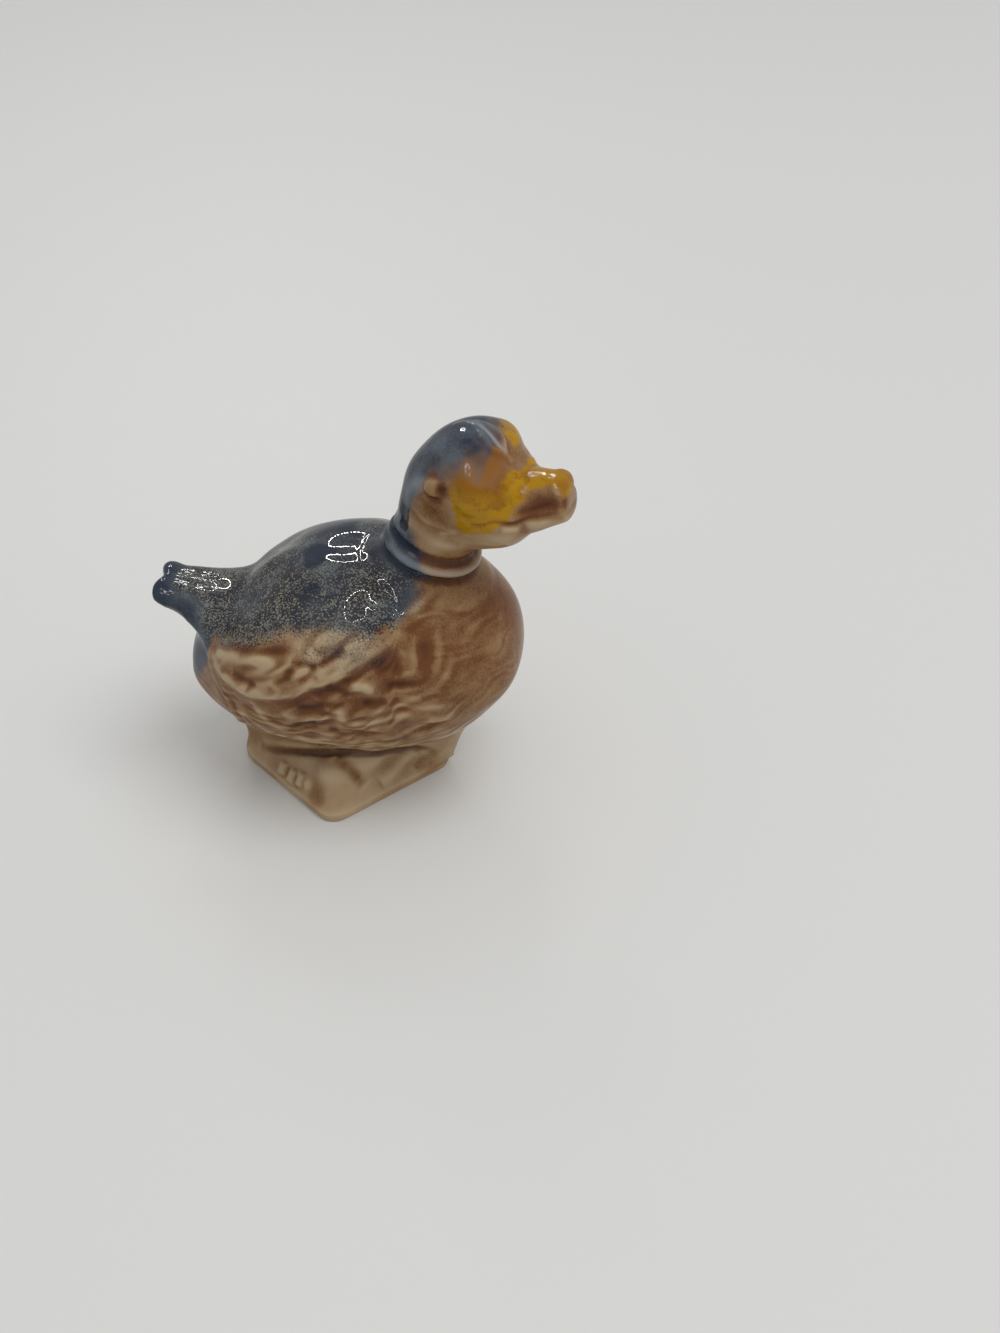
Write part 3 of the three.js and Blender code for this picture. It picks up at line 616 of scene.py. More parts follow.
def joint_weights(clay):
    """Where the joints between the large forms are filled."""
    x, _, z = clay.folded.T
    root, _ = reach(clay.folded, spline(TAIL_JOINT))
    neck = hill(clay.over + 1.9, 0.8) * smooth(-clay.aside, -6.5, -5.5)
    jaw, _ = reach(clay.head, spline(THROAT_JOINT))
    root_of_bill, _ = reach(clay.head, spline(BILL_JOINT))
    above = z - clay.curve_height(WING_EDGE)
    back = smooth(above, 1.6, 2.8) * smooth(z, 15, 16.5) * fade(x, 6.5, 8)
    back = back * smooth(clay.aside, 4.8, 5.6) * smooth(x, -13.5, -12)
    belly = smooth(z, 4.4, 5.6) * fade(z, 9, 11)
    keel = 0.7 * clay.spot((9.6, 0, 2), (1.3, 1.8, 0.9))
    joints = (back, neck, hill(root, 2), belly, keel, hill(jaw, 0.7), hill(root_of_bill, 0.8))
    return np.maximum.reduce(joints)


def filled(skin, weights, passes):
    """The skin with its hollows filled, up to what softening would make of it."""
    softer = softened(skin, passes, weights)
    clay = Clay(skin)
    clay.lift = np.maximum(-clay.proud_of(softer), 0)
    clay.press()
    return skin


# Carving


def feather_grid(clay):
    """Each point's way along the wing's feathers, which slant up to the front, and across them."""
    x, _, z = clay.folded.T
    slope = math.hypot(1, FEATHER_SLANT)
    return (x + FEATHER_SLANT * z) / slope, (z - FEATHER_SLANT * x) / slope


def carve_wings(clay, sizes):
    """The wing's raised edge, with a groove below it, and the feathers above it."""
    x, y, z = clay.folded.T
    height = sizes.ridge_height / MM
    clay.stroke(height, WING_EDGE, 0.55)
    clay.stroke(-0.7 * height, np.array(WING_EDGE[5:]) - (0, 0, 1), 0.5)
    depth = sizes.feather_depth / MM
    for path, width, rise in WING_FEATHERS:
        clay.stroke(rise * depth, path, width)
    along, across = feather_grid(clay)
    across = across + 0.5 * mottle(clay.folded, 2.6, seed=3)
    place = np.stack((along / 3, across / (sizes.feather_pitch / MM / 1.6), 0 * x), 1)
    above = z - clay.curve_height(WING_EDGE)
    side = smooth(y, 2, 4.5) * smooth(x, -9.5, -8)
    band = smooth(above, 0.3, 1.1) * fade(above, 3.2, 5) * side
    clay.lift += 0.4 * depth * band * mottle(place, 1, seed=4)
    # Two short feathers at the shoulder.
    clay.daub(0.2, (2.9, 7.1, 20.4), (1.1, 1, 0.9))
    clay.daub(0.16, (5, 5.9, 21), (0.8, 1, 1))


def carve_flanks(clay, sizes):
    """Wavy rows of feathers from wing to haunch, gathered round a leaf on the breast."""
    x, y, z = clay.folded.T
    top = clay.curve_height(WING_EDGE)
    foot = clay.curve_height(FLANK_FOOT)
    down = (top - z) / (top - foot)
    side = smooth(y, 1.5, 4) * smooth(x, -8.6, -7) * fade(x, 10.5, 13.5)
    band = smooth(down, 0.03, 0.15) * fade(down, 0.9, 1.02) * side
    leaf, _ = reach(clay.folded, np.array(LEAF))
    gathered = hill(leaf, 3)
    depth = sizes.feather_depth / MM
    for path, width, rise in FLANK_FEATHERS:
        clay.stroke(rise * depth, path, width)
    clay.stroke(-0.7 * depth, LEAF, 0.55)
    wander = 0.45 * mottle(clay.folded, 2.4, seed=1) + 0.2 * mottle(clay.folded, 1.1, seed=2)
    rows = FLANK_ROWS * down + wander
    place = np.stack((x / 2.6, rows / 0.8, 0 * x), 1)
    clay.lift += 0.6 * depth * band * mottle(place, 1, seed=7) * (1 - 0.8 * gathered)
    fine = np.stack((x / 2, 2 * rows / 0.8, 0 * x + 5), 1)
    low = smooth(down, 0.35, 0.7) * fade(down, 0.92, 1.02) * side
    clay.lift += 0.3 * depth * low * mottle(fine, 1, seed=9)


def carve_rump(clay):
    """The flank's back edge, which runs from the tail down to the plinth, and the mould's line."""
    clay.stroke(0.2, RUMP_EDGE, 0.4)
    clay.stroke(0.12, np.array(RUMP_EDGE[2:]) + (0.9, 0.4, 0), 0.3)
    x, y, z = clay.folded.T
    seam = hill(y, 0.3) * smooth(x, 9.3, 10.2) * fade(z, 8, 14)
    behind = hill(y, 0.3) * smooth(-x, 8.4, 9.2) * fade(z, 9, 13)
    clay.lift += 0.06 * seam + 0.06 * behind
    beside = hill(y - 1.1, 0.3) * smooth(x, 8, 9.4)
    beside = beside * fade(z, 7.5, 9.5) * smooth(z, 1.4, 2.4)
    clay.lift += 0.04 * beside


def carve_feet(clay):
    """The crease over each foot, its webs and its toes."""
    clay.stroke(-0.26, CREASE, 0.4)
    clay.stroke(0.16, np.array(CREASE[:-1]) + (0, 0, 0.8), 0.45)
    # Two webs with a valley between them, and a ridge and a hollow before them.
    clay.daub(0.35, (0, 7.1, 3.6), (1.2, 1.1, 0.9))
    clay.daub(0.35, (3.6, 4.9, 3.9), (1.2, 1.1, 0.9))
    clay.stroke(-0.3, FOOT_VALLEY, 0.6)
    ridge = [(6.8, 2.2, 3.3), (6.1, 3.1, 2.6), (5.3, 4, 2), (4.4, 5.2, 1.5)]
    clay.stroke(0.3, ridge, 0.7)
    hollow = [(8.6, 1.3, 2.4), (7.7, 2, 2), (6.9, 2.9, 1.5)]
    clay.stroke(-0.1, hollow, 0.5)
    # Three long toes, a gap after each, and a short one with a hollow before it.
    for toe in TOES:
        clay.stroke(0.28, toe, 0.46)
        clay.stroke(-0.05, np.array(toe) + TOE_GAP, 0.22)
    clay.daub(0.35, (-1.9, 6.7, 2), (0.55, 0.55, 0.55))
    clay.daub(-0.12, (-0.8, 7.5, 1.5), (0.9, 0.8, 0.7))


def carve_tail(clay):
    """Flutes along the tail and a thick rolled end."""
    flute = [(-14.9, 0.3, 18.6), (-13.4, 0.4, 18.4), (-11.6, 0.6, 18.1), (-9.8, 0.8, 18.2)]
    clay.stroke(-0.12, flute, 0.4)
    under = [(-15, 2.4, 17), (-13.6, 2.7, 16.4), (-12.2, 3, 15.6)]
    clay.stroke(-0.12, under, 0.4)
    clay.daub(0.12, (-14.6, 1.7, 18.2), (0.9, 1, 0.8))


def carve_head(clay):
    """The crest over the skull, facets beside it, lobed cheeks, eyes and the jaw's edge."""
    # Brow and temple.
    clay.daub(0.3, (3.3, 2.3, 2.1), (1.1, 1.5, 1), True)
    clay.daub(0.12, (2.2, 4.2, 2.7), (1.2, 1, 1.3), True)
    clay.stroke(0.24, SKULL_CREST, 0.3, True)
    # The fold from the cheek up to the bill.
    fold = [(2.9, 4.6, -0.3), (3.5, 4.1, 0.3), (4, 3.1, 0.6), (4.3, 2, 0.8), (4.6, 1.1, 1)]
    clay.stroke(0.24, fold, 0.42, True)
    # The eye's bead, with hollows before, above and below it and a line for the lid.
    clay.daub(0.2, (-1.5, 4.6, 1.8), (0.45, 1, 0.55), True)
    clay.daub(-0.3, (-0.3, 4.7, 1.8), (0.4, 0.8, 0.6), True)
    clay.daub(-0.16, (-0.9, 4.6, 2.9), (0.6, 1, 0.35), True)
    clay.daub(-0.16, (-0.9, 4.7, 0.8), (0.6, 1, 0.35), True)
    lid = [(-2.3, 3.5, 1.6), (-2.1, 3.6, 2.4), (-1.4, 3.9, 2.9), (-0.5, 4.1, 2.8)]
    clay.stroke(-0.08, lid, 0.26, True)
    # The jaw's edge, the hollow behind it, and the modeller's strokes under the chin.
    clay.stroke(0.13, JAW, 0.32, True)
    clay.stroke(-0.14, np.array(JAW) + (-0.6, -0.2, -0.6), 0.5, True)
    strokes = mottle(clay.head * (0.35, 1, 1.6), 0.55, seed=8)
    clay.lift += 0.03 * clay.spot((2.6, 2.6, -3.8), (2, 2, 1), True) * strokes


def carve_bill(clay):
    """The mouth, the hollow along the side of the bill, its lips and nostril ridge."""
    # The bill's arched top and full sides.
    clay.daub(0.5, (6, 0, 1.2), (1.1, 2, 1.2), True)
    clay.daub(0.2, (4.9, 2.2, 0), (0.8, 1, 0.9), True)
    clay.stroke(-0.2, MOUTH, 0.22, True)
    # The hollow along the side.
    clay.daub(-0.45, (6.9, 2.2, -0.5), (1.2, 0.9, 0.6), True)
    clay.daub(-0.2, (5.8, 2.5, -0.9), (0.9, 0.7, 0.4), True)
    lip = [(5.2, 2.6, -2.1), (6, 2.4, -2), (7, 2.2, -1.9), (7.9, 1.6, -1.9)]
    clay.stroke(0.14, lip, 0.34, True)
    nostril_ridge = [(7.1, 0.6, 1), (7.6, 1.2, 0.5), (7.8, 1.6, 0)]
    clay.stroke(0.14, nostril_ridge, 0.26, True)
    clay.daub(-0.14, (8.3, 1.3, -0.7), (0.3, 0.4, 0.45), True)
    mouth_corner = [(3.8, 3.9, -2), (4.3, 3.4, -2.1), (4.8, 2.7, -2.3)]
    clay.stroke(0.12, mouth_corner, 0.3, True)


def carve_neck(clay):
    """The ring's crest, which sinks into the back, and folds behind the jaw and at the throat."""
    beside = hill(abs(clay.over) - 0.7, 0.35) * smooth(-clay.aside, -6, -5.4)
    behind = smooth(-clay.folded[:, 0], -6.6, -5)
    clay.lift -= 0.22 * beside * (1 - behind)
    sunk = 0.3 * hill(clay.over - 1.3, 0.6) - 0.4 * hill(clay.over - 0.2, 0.6)
    clay.lift += sunk * smooth(-clay.aside, -6, -5.4) * behind
    clay.stroke(-0.12, JAW_LEAF, 0.5)
    fold = [(11.9, 0.9, 24.8), (12.3, 0.9, 23.4), (12.8, 1, 22)]
    clay.stroke(0.06, fold, 0.3)


# Colouring


def sprayed(clay):
    """Where the blue-grey spray lies: back, tail, rump, nape and crown."""
    x, _, z = clay.folded.T
    forward, _, up = clay.head.T
    soft = 0.6 * mottle(clay.points, 2.2, seed=11) + 0.4 * mottle(clay.points, 1, seed=12)
    line = np.interp(x, *np.array(SPRAY_EDGE).T)
    back = smooth(z - line + 0.35 * soft, -1.2, 0.9) * fade(x + 0.35 * soft, 6.8, 9.8)
    wiped = 0.6 * clay.spot(WIPED, (3.4, 1.8, 1.5)) * (1 - 0.5 * soft)
    back = np.maximum(back, wiped)
    on_neck = smooth(z, 22.4, 23.2)
    around = smooth(-x - 0.45 * (z - 24) + 0.5 * soft, -9.8, -7.2)
    neck = back * (1 - on_neck) + around * on_neck
    line = np.interp(forward, *np.array(CROWN_EDGE).T)
    crown = smooth(up - line + 0.35 * soft, -2.1, 1.3)
    beside = clay.spot((2.3, 0.9, 4.2), (1.1, 1, 1.1), True) * smooth(clay.leftwards, -0.3, 0.3)
    crown = np.maximum(crown, beside * (1 + 0.3 * soft)).clip(0, 1)
    on_head = smooth(clay.head @ THROAT_WAY, -3.9, -2.9)
    eye = smooth(-np.linalg.norm((clay.head - EYE) * (1, 0.8, 0.8), axis=1), -1.05, -0.75)
    return ((1 - on_head) * neck + on_head * crown) * (1 - eye)


def grained(clay):
    """How coarse the spray's grain is: coarse on the back, fine on the shoulders, head and tail."""
    x, y, z = clay.folded.T
    soft = mottle(clay.points, 2.4, seed=17)
    back = smooth(z, 14, 16) * fade(z, 22.8, 23.6) * smooth(x, -14.2, -12.6)
    shoulder = clay.spot((7.6, 4.2, 21.4), (1.5, 2.8, 2))
    middle = clay.spot((1, 1, 22.4), (4, 4, 2.4))
    wiped = clay.spot(WIPED, (3, 2, 1.4))
    tail = smooth(-x, 9.6, 11.4) * smooth(y - 0.25 * (x + 13), 1.2, 2.2)
    fine = 0.9 * shoulder + 0.45 * middle + 0.6 * wiped + tail
    return np.clip(back * (0.9 + 0.2 * soft) - fine, 0, 1)


def pooled_spray(clay):
    """Where the spray has run together: round the ring, behind the jaw, on tail and shoulders."""
    x, y, z = clay.folded.T
    soft = mottle(clay.points, 1.6, seed=13)
    ring = hill(clay.over - 1, 0.45) + 0.8 * hill(clay.over + 1.1, 0.45)
    ring = ring * fade(x, 7.2, 10.5) * smooth(z, 21.5, 22.5)
    leaf = clay.along(JAW_LEAF, 0.75)
    leaf = smooth(leaf * (1 + 0.3 * mottle(clay.points, 0.45, seed=15)), 0.3, 0.5)
    shoulder = 0.5 * clay.spot((7.4, 4.3, 21.4), (1.2, 2, 1.6))
    middle = 0.65 * clay.spot((0.5, 1.6, 21.8), (4, 4.5, 3)) * (1 + 0.9 * soft)
    tail = clay.spot((-12.4, 3, 14.4), (2.4, 2, 2.8))
    crown = 0.6 * clay.spot((0.9, 1.6, 4.7), (1.8, 1.4, 1.1), True) * (1 + 0.5 * soft)
    facet = 0.7 * clay.spot((1.9, 2.2, 4.1), (0.9, 1.4, 0.6), True)
    side = smooth(-x, 9.6, 11.4) * smooth(y - 0.25 * (x + 13), 1.2, 2.6) * smooth(z, 13, 15)
    tip = 0.8 * smooth(-x, 12.2, 14) * smooth(z, 14, 15)
    pools = (ring, leaf, shoulder, middle, tail, crown, facet, tip, 0.6 * side)
    return np.clip(np.maximum.reduce(pools), 0, 1)


def pale_ring_and_painted_highlights(clay):
    """Pale over the spray: painted highlights along the crest over the skull and down the nape, and
    the ring where the spray was wiped off.
    """
    # The crest's pale streak is a painted highlight.
    crest = [(1, 0, 5.1), (1.8, 0, 4.8), (2.4, 0, 4), (3, 0, 3.1), (3.4, 0, 2.5)]
    crest = clay.along(crest, 0.2, True)
    # The nape's pale strip is a painted highlight.
    nape = [(-3.5, 2.6, 2.4), (-3.8, 2.9, 0.6), (-4, 3, -1)]
    nape = clay.along(nape, 0.6, True)
    x, _, z = clay.points.T
    ring = hill(clay.over - 0.1, 0.3) * smooth(z, 22, 23) * smooth(x, 4.6, 6)
    return np.clip(np.maximum.reduce((crest, 0.7 * nape, 0.45 * ring)), 0, 1)


def yellowed(clay):
    """The cheek patches, the duck's left brow and the top of the bill."""
    forward, out, up = clay.head.T
    rough = 0.16 * mottle(clay.head, 0.9, seed=21) + 0.1 * mottle(clay.head, 0.4, seed=22)
    left = np.interp(up, (-2.4, -1, 0.4, 1.7, 2.5, 3.2), (0.6, 0.4, 0.5, 0.85, 1.05, 1.2))
    foot = np.interp(forward, (0.4, 2.1, 2.9, 3.5, 4.6), (-2, -2.25, -1.9, -1.35, -1.25))
    cheek = smooth(forward - left + rough, -0.45, 0.5) * smooth(up + rough - foot, -0.45, 0.3)
    cheek = cheek * fade(up + 0.9 * (forward - 2) + rough, 2.2, 3.2) * smooth(out, 2.2, 3.6)
    brow = smooth(forward + rough, 1.5, 2.3) * fade(forward, 3.4, 4.2)
    brow = brow * smooth(up + rough, 1.9, 2.4) * smooth(clay.leftwards + rough, 1, 1.9)
    brow = brow * fade(up, 4.4, 5)
    bridge = smooth(forward + 0.5 * rough, 3.3, 4)
    bridge = bridge * smooth(up - 0.84 * (forward - 4.4) + rough, -1.1, -0.3)
    far = smooth(clay.leftwards, -0.8, -0.3)
    limit = 0.8 * far + 1.6 * (1 - far)
    over = smooth(up - 0.3 * (forward - 4) - limit, -0.2, 0.5) * fade(forward, 4.3, 4.9)
    bridge = bridge * (1 - over)
    top = smooth(forward, 4.6, 5.4) * smooth(up + 0.5 * rough - 0.15 * (forward - 5), 0.1, 0.6)
    tip = 0.8 * smooth(forward + 0.4 * up, 7.7, 8.3) * smooth(up, -0.8, -0.1)
    on_head = smooth(clay.head @ THROAT_WAY, -3.6, -3)
    return np.clip(np.maximum.reduce((cheek, brow, bridge, top, tip)), 0, 1) * on_head


def ochred(clay):
    """Brown over yellow on the duck's right brow, and where cheek and bill meet."""
    right = fade(clay.leftwards, -0.2, 0.6)
    face = 1.8 * clay.spot((2.4, 2.9, 3), (2.1, 2.6, 1.9), True)
    side = 0.8 * clay.spot((1.7, 4, 3), (1.3, 1.3, 1), True)
    far = 0.3 * clay.spot((3.6, 2, 1.6), (0.8, 1.6, 0.8), True) * (1 - right)
    fold = 0.55 * clay.spot((3.7, 3.4, 0.6), (0.9, 1, 0.7), True)
    bill = 0.6 * clay.spot((8, 0.8, 0.5), (1.1, 1.6, 0.9), True)
    return np.clip(np.maximum(face, side) * right + far + fold + bill, 0, 1)


def browned(clay):
    """How thickly the brown wash was laid on, with painted shade on the plinth's sides: from 0,
    hardly any, to more than 1.
    """
    x, _, z = clay.folded.T
    soft = mottle(clay.points, 3, seed=31) + 0.5 * mottle(clay.points, 1.3, seed=32)
    breast = smooth(x, 5.5, 9) * smooth(z, 12, 16) * fade(z, 22.5, 24)
    flank = smooth(clay.curve_height(WING_EDGE) - z, 0, 1) * smooth(z, 8, 10)
    belly = smooth(-z, -9, -5) + 0.7 * smooth(x, 8, 12) * smooth(-z, -13, -10)
    below_wing = clay.along(np.array(WING_EDGE[6:14]) - (0, 0, 1), 0.7)
    under_spray = clay.along(UNDER_SPRAY, 0.8)
    # The plinth's upright sides get more wash as painted shade.
    rim = smooth(-z, -0.95, -0.75) * fade(abs(clay.normals[:, 2]), 0.3, 0.7)
    amount = 0.36 + 0.13 * soft + 0.22 * breast + 0.3 * flank - 0.2 * belly
    amount = amount + 0.3 * below_wing + 0.4 * under_spray + 0.3 * rim
    for washes, on_head in ((BODY_WASHES, False), (HEAD_WASHES, True)):
        for share, centre, radii in washes:
            amount = amount + share * clay.spot(centre, radii, on_head)
    return np.clip(amount, 0, 1.5)


def flecked(clay):
    """Fine streaks of wash along the feathers, about -1 to 1, with the raised ones rubbed clean."""
    x, y, z = clay.folded.T
    top = clay.curve_height(WING_EDGE)
    foot = clay.curve_height(FLANK_FOOT)
    rows = FLANK_ROWS * (top - z) / (top - foot)
    warp = 0.5 * mottle(clay.folded, 1.8, seed=41)
    flank = mottle(np.stack((x / 1.3, (rows + warp) / 0.42, 0 * x), 1), 1, seed=42)
    along, across = feather_grid(clay)
    wing = np.stack((along / 1.5, (across + 0.6 * warp) / 0.4, 0 * x), 1)
    wing = mottle(wing, 1, seed=43)
    on_wing = smooth(z - top, -0.2, 0.2)
    on_body = smooth(z, 4.8, 6) * fade(z, 21, 23) * smooth(y, 0.5, 3)
    on_breast = smooth(x, 7.5, 11) * smooth(z, 9, 13)
    fleck = on_body * (on_wing * wing + (1 - on_wing) * flank) * (1 - 0.5 * on_breast)
    for path, width, rise in WING_FEATHERS + FLANK_FEATHERS:
        fleck = fleck - 1.6 * rise * clay.along(path, 1.1 * width)
    return fleck - 0.8 * clay.along(WING_EDGE, 0.4)


def creases_and_painted_shade(clay):
    """The feet's crease and the line below it, and the plinth's edge, darkened as painted shade
    over the wash; and the mouth's dark line.
    """
    z = clay.folded[:, 2]
    # Painted shade in the crease under the body and below it, over the brown wash.
    foot = clay.along(CREASE, 0.5)
    below = 0.7 * clay.along(SHADE_BELOW_CREASE, 0.6)
    # A dark line of painted shade along the plinth's side, under its rim.
    edge = 0.5 * hill(z - 0.62, 0.14) * fade(abs(clay.normals[:, 2]), 0.5, 0.9)
    lips = 0.7 * clay.along(MOUTH[2:6], 0.16, True)
    return np.clip(foot + below + edge + lips, 0, 1)


def bared(clay):
    """Where the clay is left without glaze, under the plinth."""
    return smooth(-clay.normals[:, 2], 0.6, 0.9) * smooth(-clay.points[:, 2], -0.7, -0.5)


def colour_clay(clay):
    """Stores what the glazes follow: how hollow the clay is, and where each colour was laid."""
    clay.store("raised", clay.proud_of(softened(clay.mesh, RELIEF_PASSES)))
    clay.store("fleck", flecked(clay))
    clay.store("spray", sprayed(clay))
    clay.store("grain", grained(clay))
    clay.store("pool", pooled_spray(clay))
    clay.store("pale", pale_ring_and_painted_highlights(clay))
    clay.store("yellow", yellowed(clay))
    clay.store("wash", browned(clay))
    clay.store("ochre", ochred(clay))
    clay.store("crease", creases_and_painted_shade(clay))
    clay.store("bare", bared(clay))


class DUCK_OT_clay(bpy.types.Operator):
    """Lutes the frame's forms into one skin, softens it, carves it and lays the colours on"""

    bl_idname = "duck.clay"
    bl_label = "Press and Carve the Clay"

    def execute(self, context):
        sizes = context.scene.duck_clay
        clay = self.pressed(sizes)
        carve_wings(clay, sizes)
        carve_flanks(clay, sizes)
        for carve in (carve_rump, carve_feet, carve_tail, carve_head, carve_bill, carve_neck):
            carve(clay)
        clay.press()
        clay = Clay(softened(clay.mesh, FINISH_PASSES))
        clay.points = np.clip(clay.points, BOX_LOW, BOX_HIGH)
        clay.write()
        clay.read()
        colour_clay(clay)
        normals = clay.mesh.attributes.new("glaze_normal", "FLOAT_VECTOR", "POINT")
        normals.data.foreach_set("vector", clay.normals.astype(np.float32).ravel())
        clay.mesh.name = "clay_skin"
        return {"FINISHED"}

    def pressed(self, sizes):
        """The clay before it is carved, with its joints padded, filled and softened."""
        skin = softened(luted_skin(sizes), FACET_PASSES)
        skin = softened(skin, sizes.softening, 1 - small_forms(Clay(skin)))
        clay = Clay(skin)
        pad_joints(clay)
        clay.press()
        weights = joint_weights(clay)
        clay = Clay(softened(filled(skin, weights, sizes.fillet), sizes.fillet, weights))
        clay.lift += JOINT_RISE * weights - LUTING_TAKEN_BACK * sizes.luting / MM
        clay.press()
        return clay


# Glazes


class Wire:
    """A value in a material's nodes, with the arithmetic that is used on it."""

    def __init__(self, paint, socket):
        self.paint = paint
        self.socket = socket

    def math(self, operation, first, second):
        """A new value, worked out from two."""
        return self.paint.node("Math", {"operation": operation}, first, second)

    def __add__(self, other):
        return self.math("ADD", self, other)

    def __sub__(self, other):
        return self.math("SUBTRACT", self, other)

    def __mul__(self, other):
        return self.math("MULTIPLY", self, other)

    def __rsub__(self, other):
        return self.math("SUBTRACT", other, self)

    __radd__ = __add__
    __rmul__ = __mul__


class Paint:
    """A material, and the nodes that are added to it."""

    def __init__(self, name):
        self.material = bpy.data.materials.new(name)
        self.material.use_nodes = True
        self.tree = self.material.node_tree
        self.shader = self.tree.nodes["Principled BSDF"]

    def feed(self, socket, value):
        """Links a value to a socket, or sets the socket to a number or a colour."""
        if isinstance(value, Wire):
            self.tree.links.new(value.socket, socket)
        elif isinstance(value, (tuple, list, bpy.types.bpy_prop_array)) or hasattr(value, "r"):
            values = tuple(value)
            socket.default_value = (*values, 1)[: len(socket.default_value)]
        else:
            socket.default_value = value

    def node(self, kind, settings=None, *inputs, output=0, **named):
        """Adds a node and fills its inputs, by their order and by their names."""
        made = self.tree.nodes.new("ShaderNode" + kind)
        for name, value in (settings or {}).items():
            setattr(made, name, value)
        for socket, value in zip(made.inputs, inputs):
            self.feed(socket, value)
        for name, value in named.items():
            self.feed(made.inputs[name.replace("_", " ")], value)
        return Wire(self, made.outputs[output])

    def laid(self, name):
        """A value that was laid on the clay."""
        return self.node("Attribute", {"attribute_name": name}, output="Fac")

    def ramp(self, value, low, high):
        """From 0 at low to 1 at high, with soft ends."""
        settings = {"interpolation_type": "SMOOTHSTEP", "clamp": True}
        return self.node("MapRange", settings, value, low, high, 0.0, 1.0)

    def blend(self, share, under, over):
        """One colour over another."""
        made = self.tree.nodes.new("ShaderNodeMix")
        made.data_type = "RGBA"
        for index, value in ((0, share), (6, under), (7, over)):
            self.feed(made.inputs[index], value)
        return Wire(self, made.outputs[2])

    def grain(self, per_metre, detail=2.0, roughness=0.5):
        """Random values of about that many to the metre."""
        place = self.node("TexCoord", output="Object")
        return self.node(
            "TexNoise", Vector=place, Scale=per_metre, Detail=detail, Roughness=roughness
        )


def glaze(name, colours):
    """The hand-coloured glaze: wash and spray under a thick, clear, shining coat, with painted
    shade in the creases and painted highlights on the head.
    """
    paint = Paint(name)
    raised = paint.laid("raised")
    wash = paint.laid("wash")
    streak = paint.laid("fleck") * 0.34
    cloudy = paint.grain(420, detail=3)
    soft = paint.grain(1400, detail=3)
    speck = paint.grain(6000, detail=1.0, roughness=0.6)
    dusty = paint.grain(6400, detail=1.0, roughness=0.6)
    cloud_drift, drift, spray_drift = cloudy - 0.5, soft - 0.5, speck - 0.5

    # Clay and brown wash: pale on what stands out, dark in what lies deep.
    thin = raised * -8.0 + drift * 0.6 + spray_drift * 0.9 + streak
    hollow = paint.ramp(thin + wash, 0.05, 1.2)
    deep = paint.ramp(raised * -7.0 + wash * 0.6 + drift * 0.3 + streak, 0.65, 1.7)
    crest = raised * 8.0 + cloud_drift * 0.8 - streak * 1.3 - wash * 1.5 + 0.54
    clay = paint.blend(paint.ramp(crest, -0.1, 1.1) * 0.74, colours.fawn, colours.cream)
    clay = paint.blend(hollow * 0.88, clay, colours.brown)
    clay = paint.blend(deep * 0.8, clay, colours.umber_and_painted_shade)
    # Umber where the creases and the plinth's edge are darkened as painted shade, and on the
    # mouth's line.
    dark = paint.ramp(paint.laid("crease") + drift * 0.3, 0.3, 1.0)
    clay = paint.blend(dark * 0.7, clay, colours.umber_and_painted_shade)

    # Yellow, turning to ochre where it lies deep and at random, and ochre over it.
    bright = paint.ramp(paint.laid("yellow") + drift * 0.4 + spray_drift * 0.4, 0.12, 0.88)
    ochre_share = paint.ramp(soft + raised * -3.0 + spray_drift * 0.6, 0.42, 0.8)
    gold = paint.blend(ochre_share * 0.7, colours.yellow, colours.ochre)
    clay = paint.blend(bright * 0.97, clay, gold)
    tan = paint.ramp(paint.laid("ochre") + drift * 0.4 + spray_drift * 0.3, 0.05, 0.9)
    clay = paint.blend(tan * 0.8, clay, colours.ochre)

    # The spray: smooth blue-grey or coarse grains, with a dusty edge, pools, the wiped ring and
    # painted highlights.
    spray = paint.laid("spray")
    grain = paint.laid("grain")
    edge = spray * (1 - spray) * 4.0
    dither = (spray_drift * (grain * 2.0 + 0.6) + drift * 0.2) * edge
    covered = paint.ramp(spray + dither, 0.04, 0.96)
    cloud = paint.ramp(cloudy + raised * 1.5 + spray_drift * 0.4, 0.25, 0.75)
    blue = paint.blend(cloud * 0.85 + 0.1, colours.navy, colours.slate)
    pale = paint.ramp(dusty + cloud_drift * 0.5 + drift * 0.35, 0.53, 0.63)
    light = paint.blend(paint.ramp(cloudy, 0.42, 0.62) * 0.6, colours.olive, colours.slate)
    dust = paint.blend(pale * 0.9, paint.blend(cloud * 0.8, colours.navy, colours.soot), light)
    clay = paint.blend(covered * 0.94, clay, paint.blend(grain * 0.9, blue, dust))
    pool = paint.ramp(paint.laid("pool") + drift * 0.3, 0.25, 0.95)
    clay = paint.blend(pool * 0.8, clay, colours.navy)
    # Mist over the spray: the wiped ring, and painted highlights on the skull's crest and the nape.
    clay = paint.blend(paint.laid("pale") * 0.55, clay, colours.mist_and_painted_highlight)

    # The shining coat, which stops at the bare clay under the plinth.
    bare = paint.laid("bare")
    sockets = paint.shader.inputs
    paint.feed(sockets["Base Color"], paint.blend(bare, clay, colours.biscuit))
    paint.feed(sockets["Roughness"], bare * 0.4 + 0.42)
    paint.feed(sockets["Coat Weight"], (1 - bare) * 0.6)
    sockets["Specular IOR Level"].default_value = 0.0
    sockets["Coat Roughness"].default_value = 0.015
    sockets["Coat IOR"].default_value = 1.4
    orange_peel = paint.grain(900, detail=2)
    bump = paint.node("Bump", Strength=0.05, Distance=0.00003, Height=orange_peel)
    paint.feed(sockets["Normal"], bump)
    return paint.material


# Pieces


class Cut:
    """A plane that parts the clay: what lies on its outer side goes."""

    def __init__(self, place, outwards):
        self.place = Vector(place)
        self.outwards = Vector(outwards)

    def other_side(self):
        """The same cut, for the piece beyond it."""
        return Cut(self.place, -self.outwards)


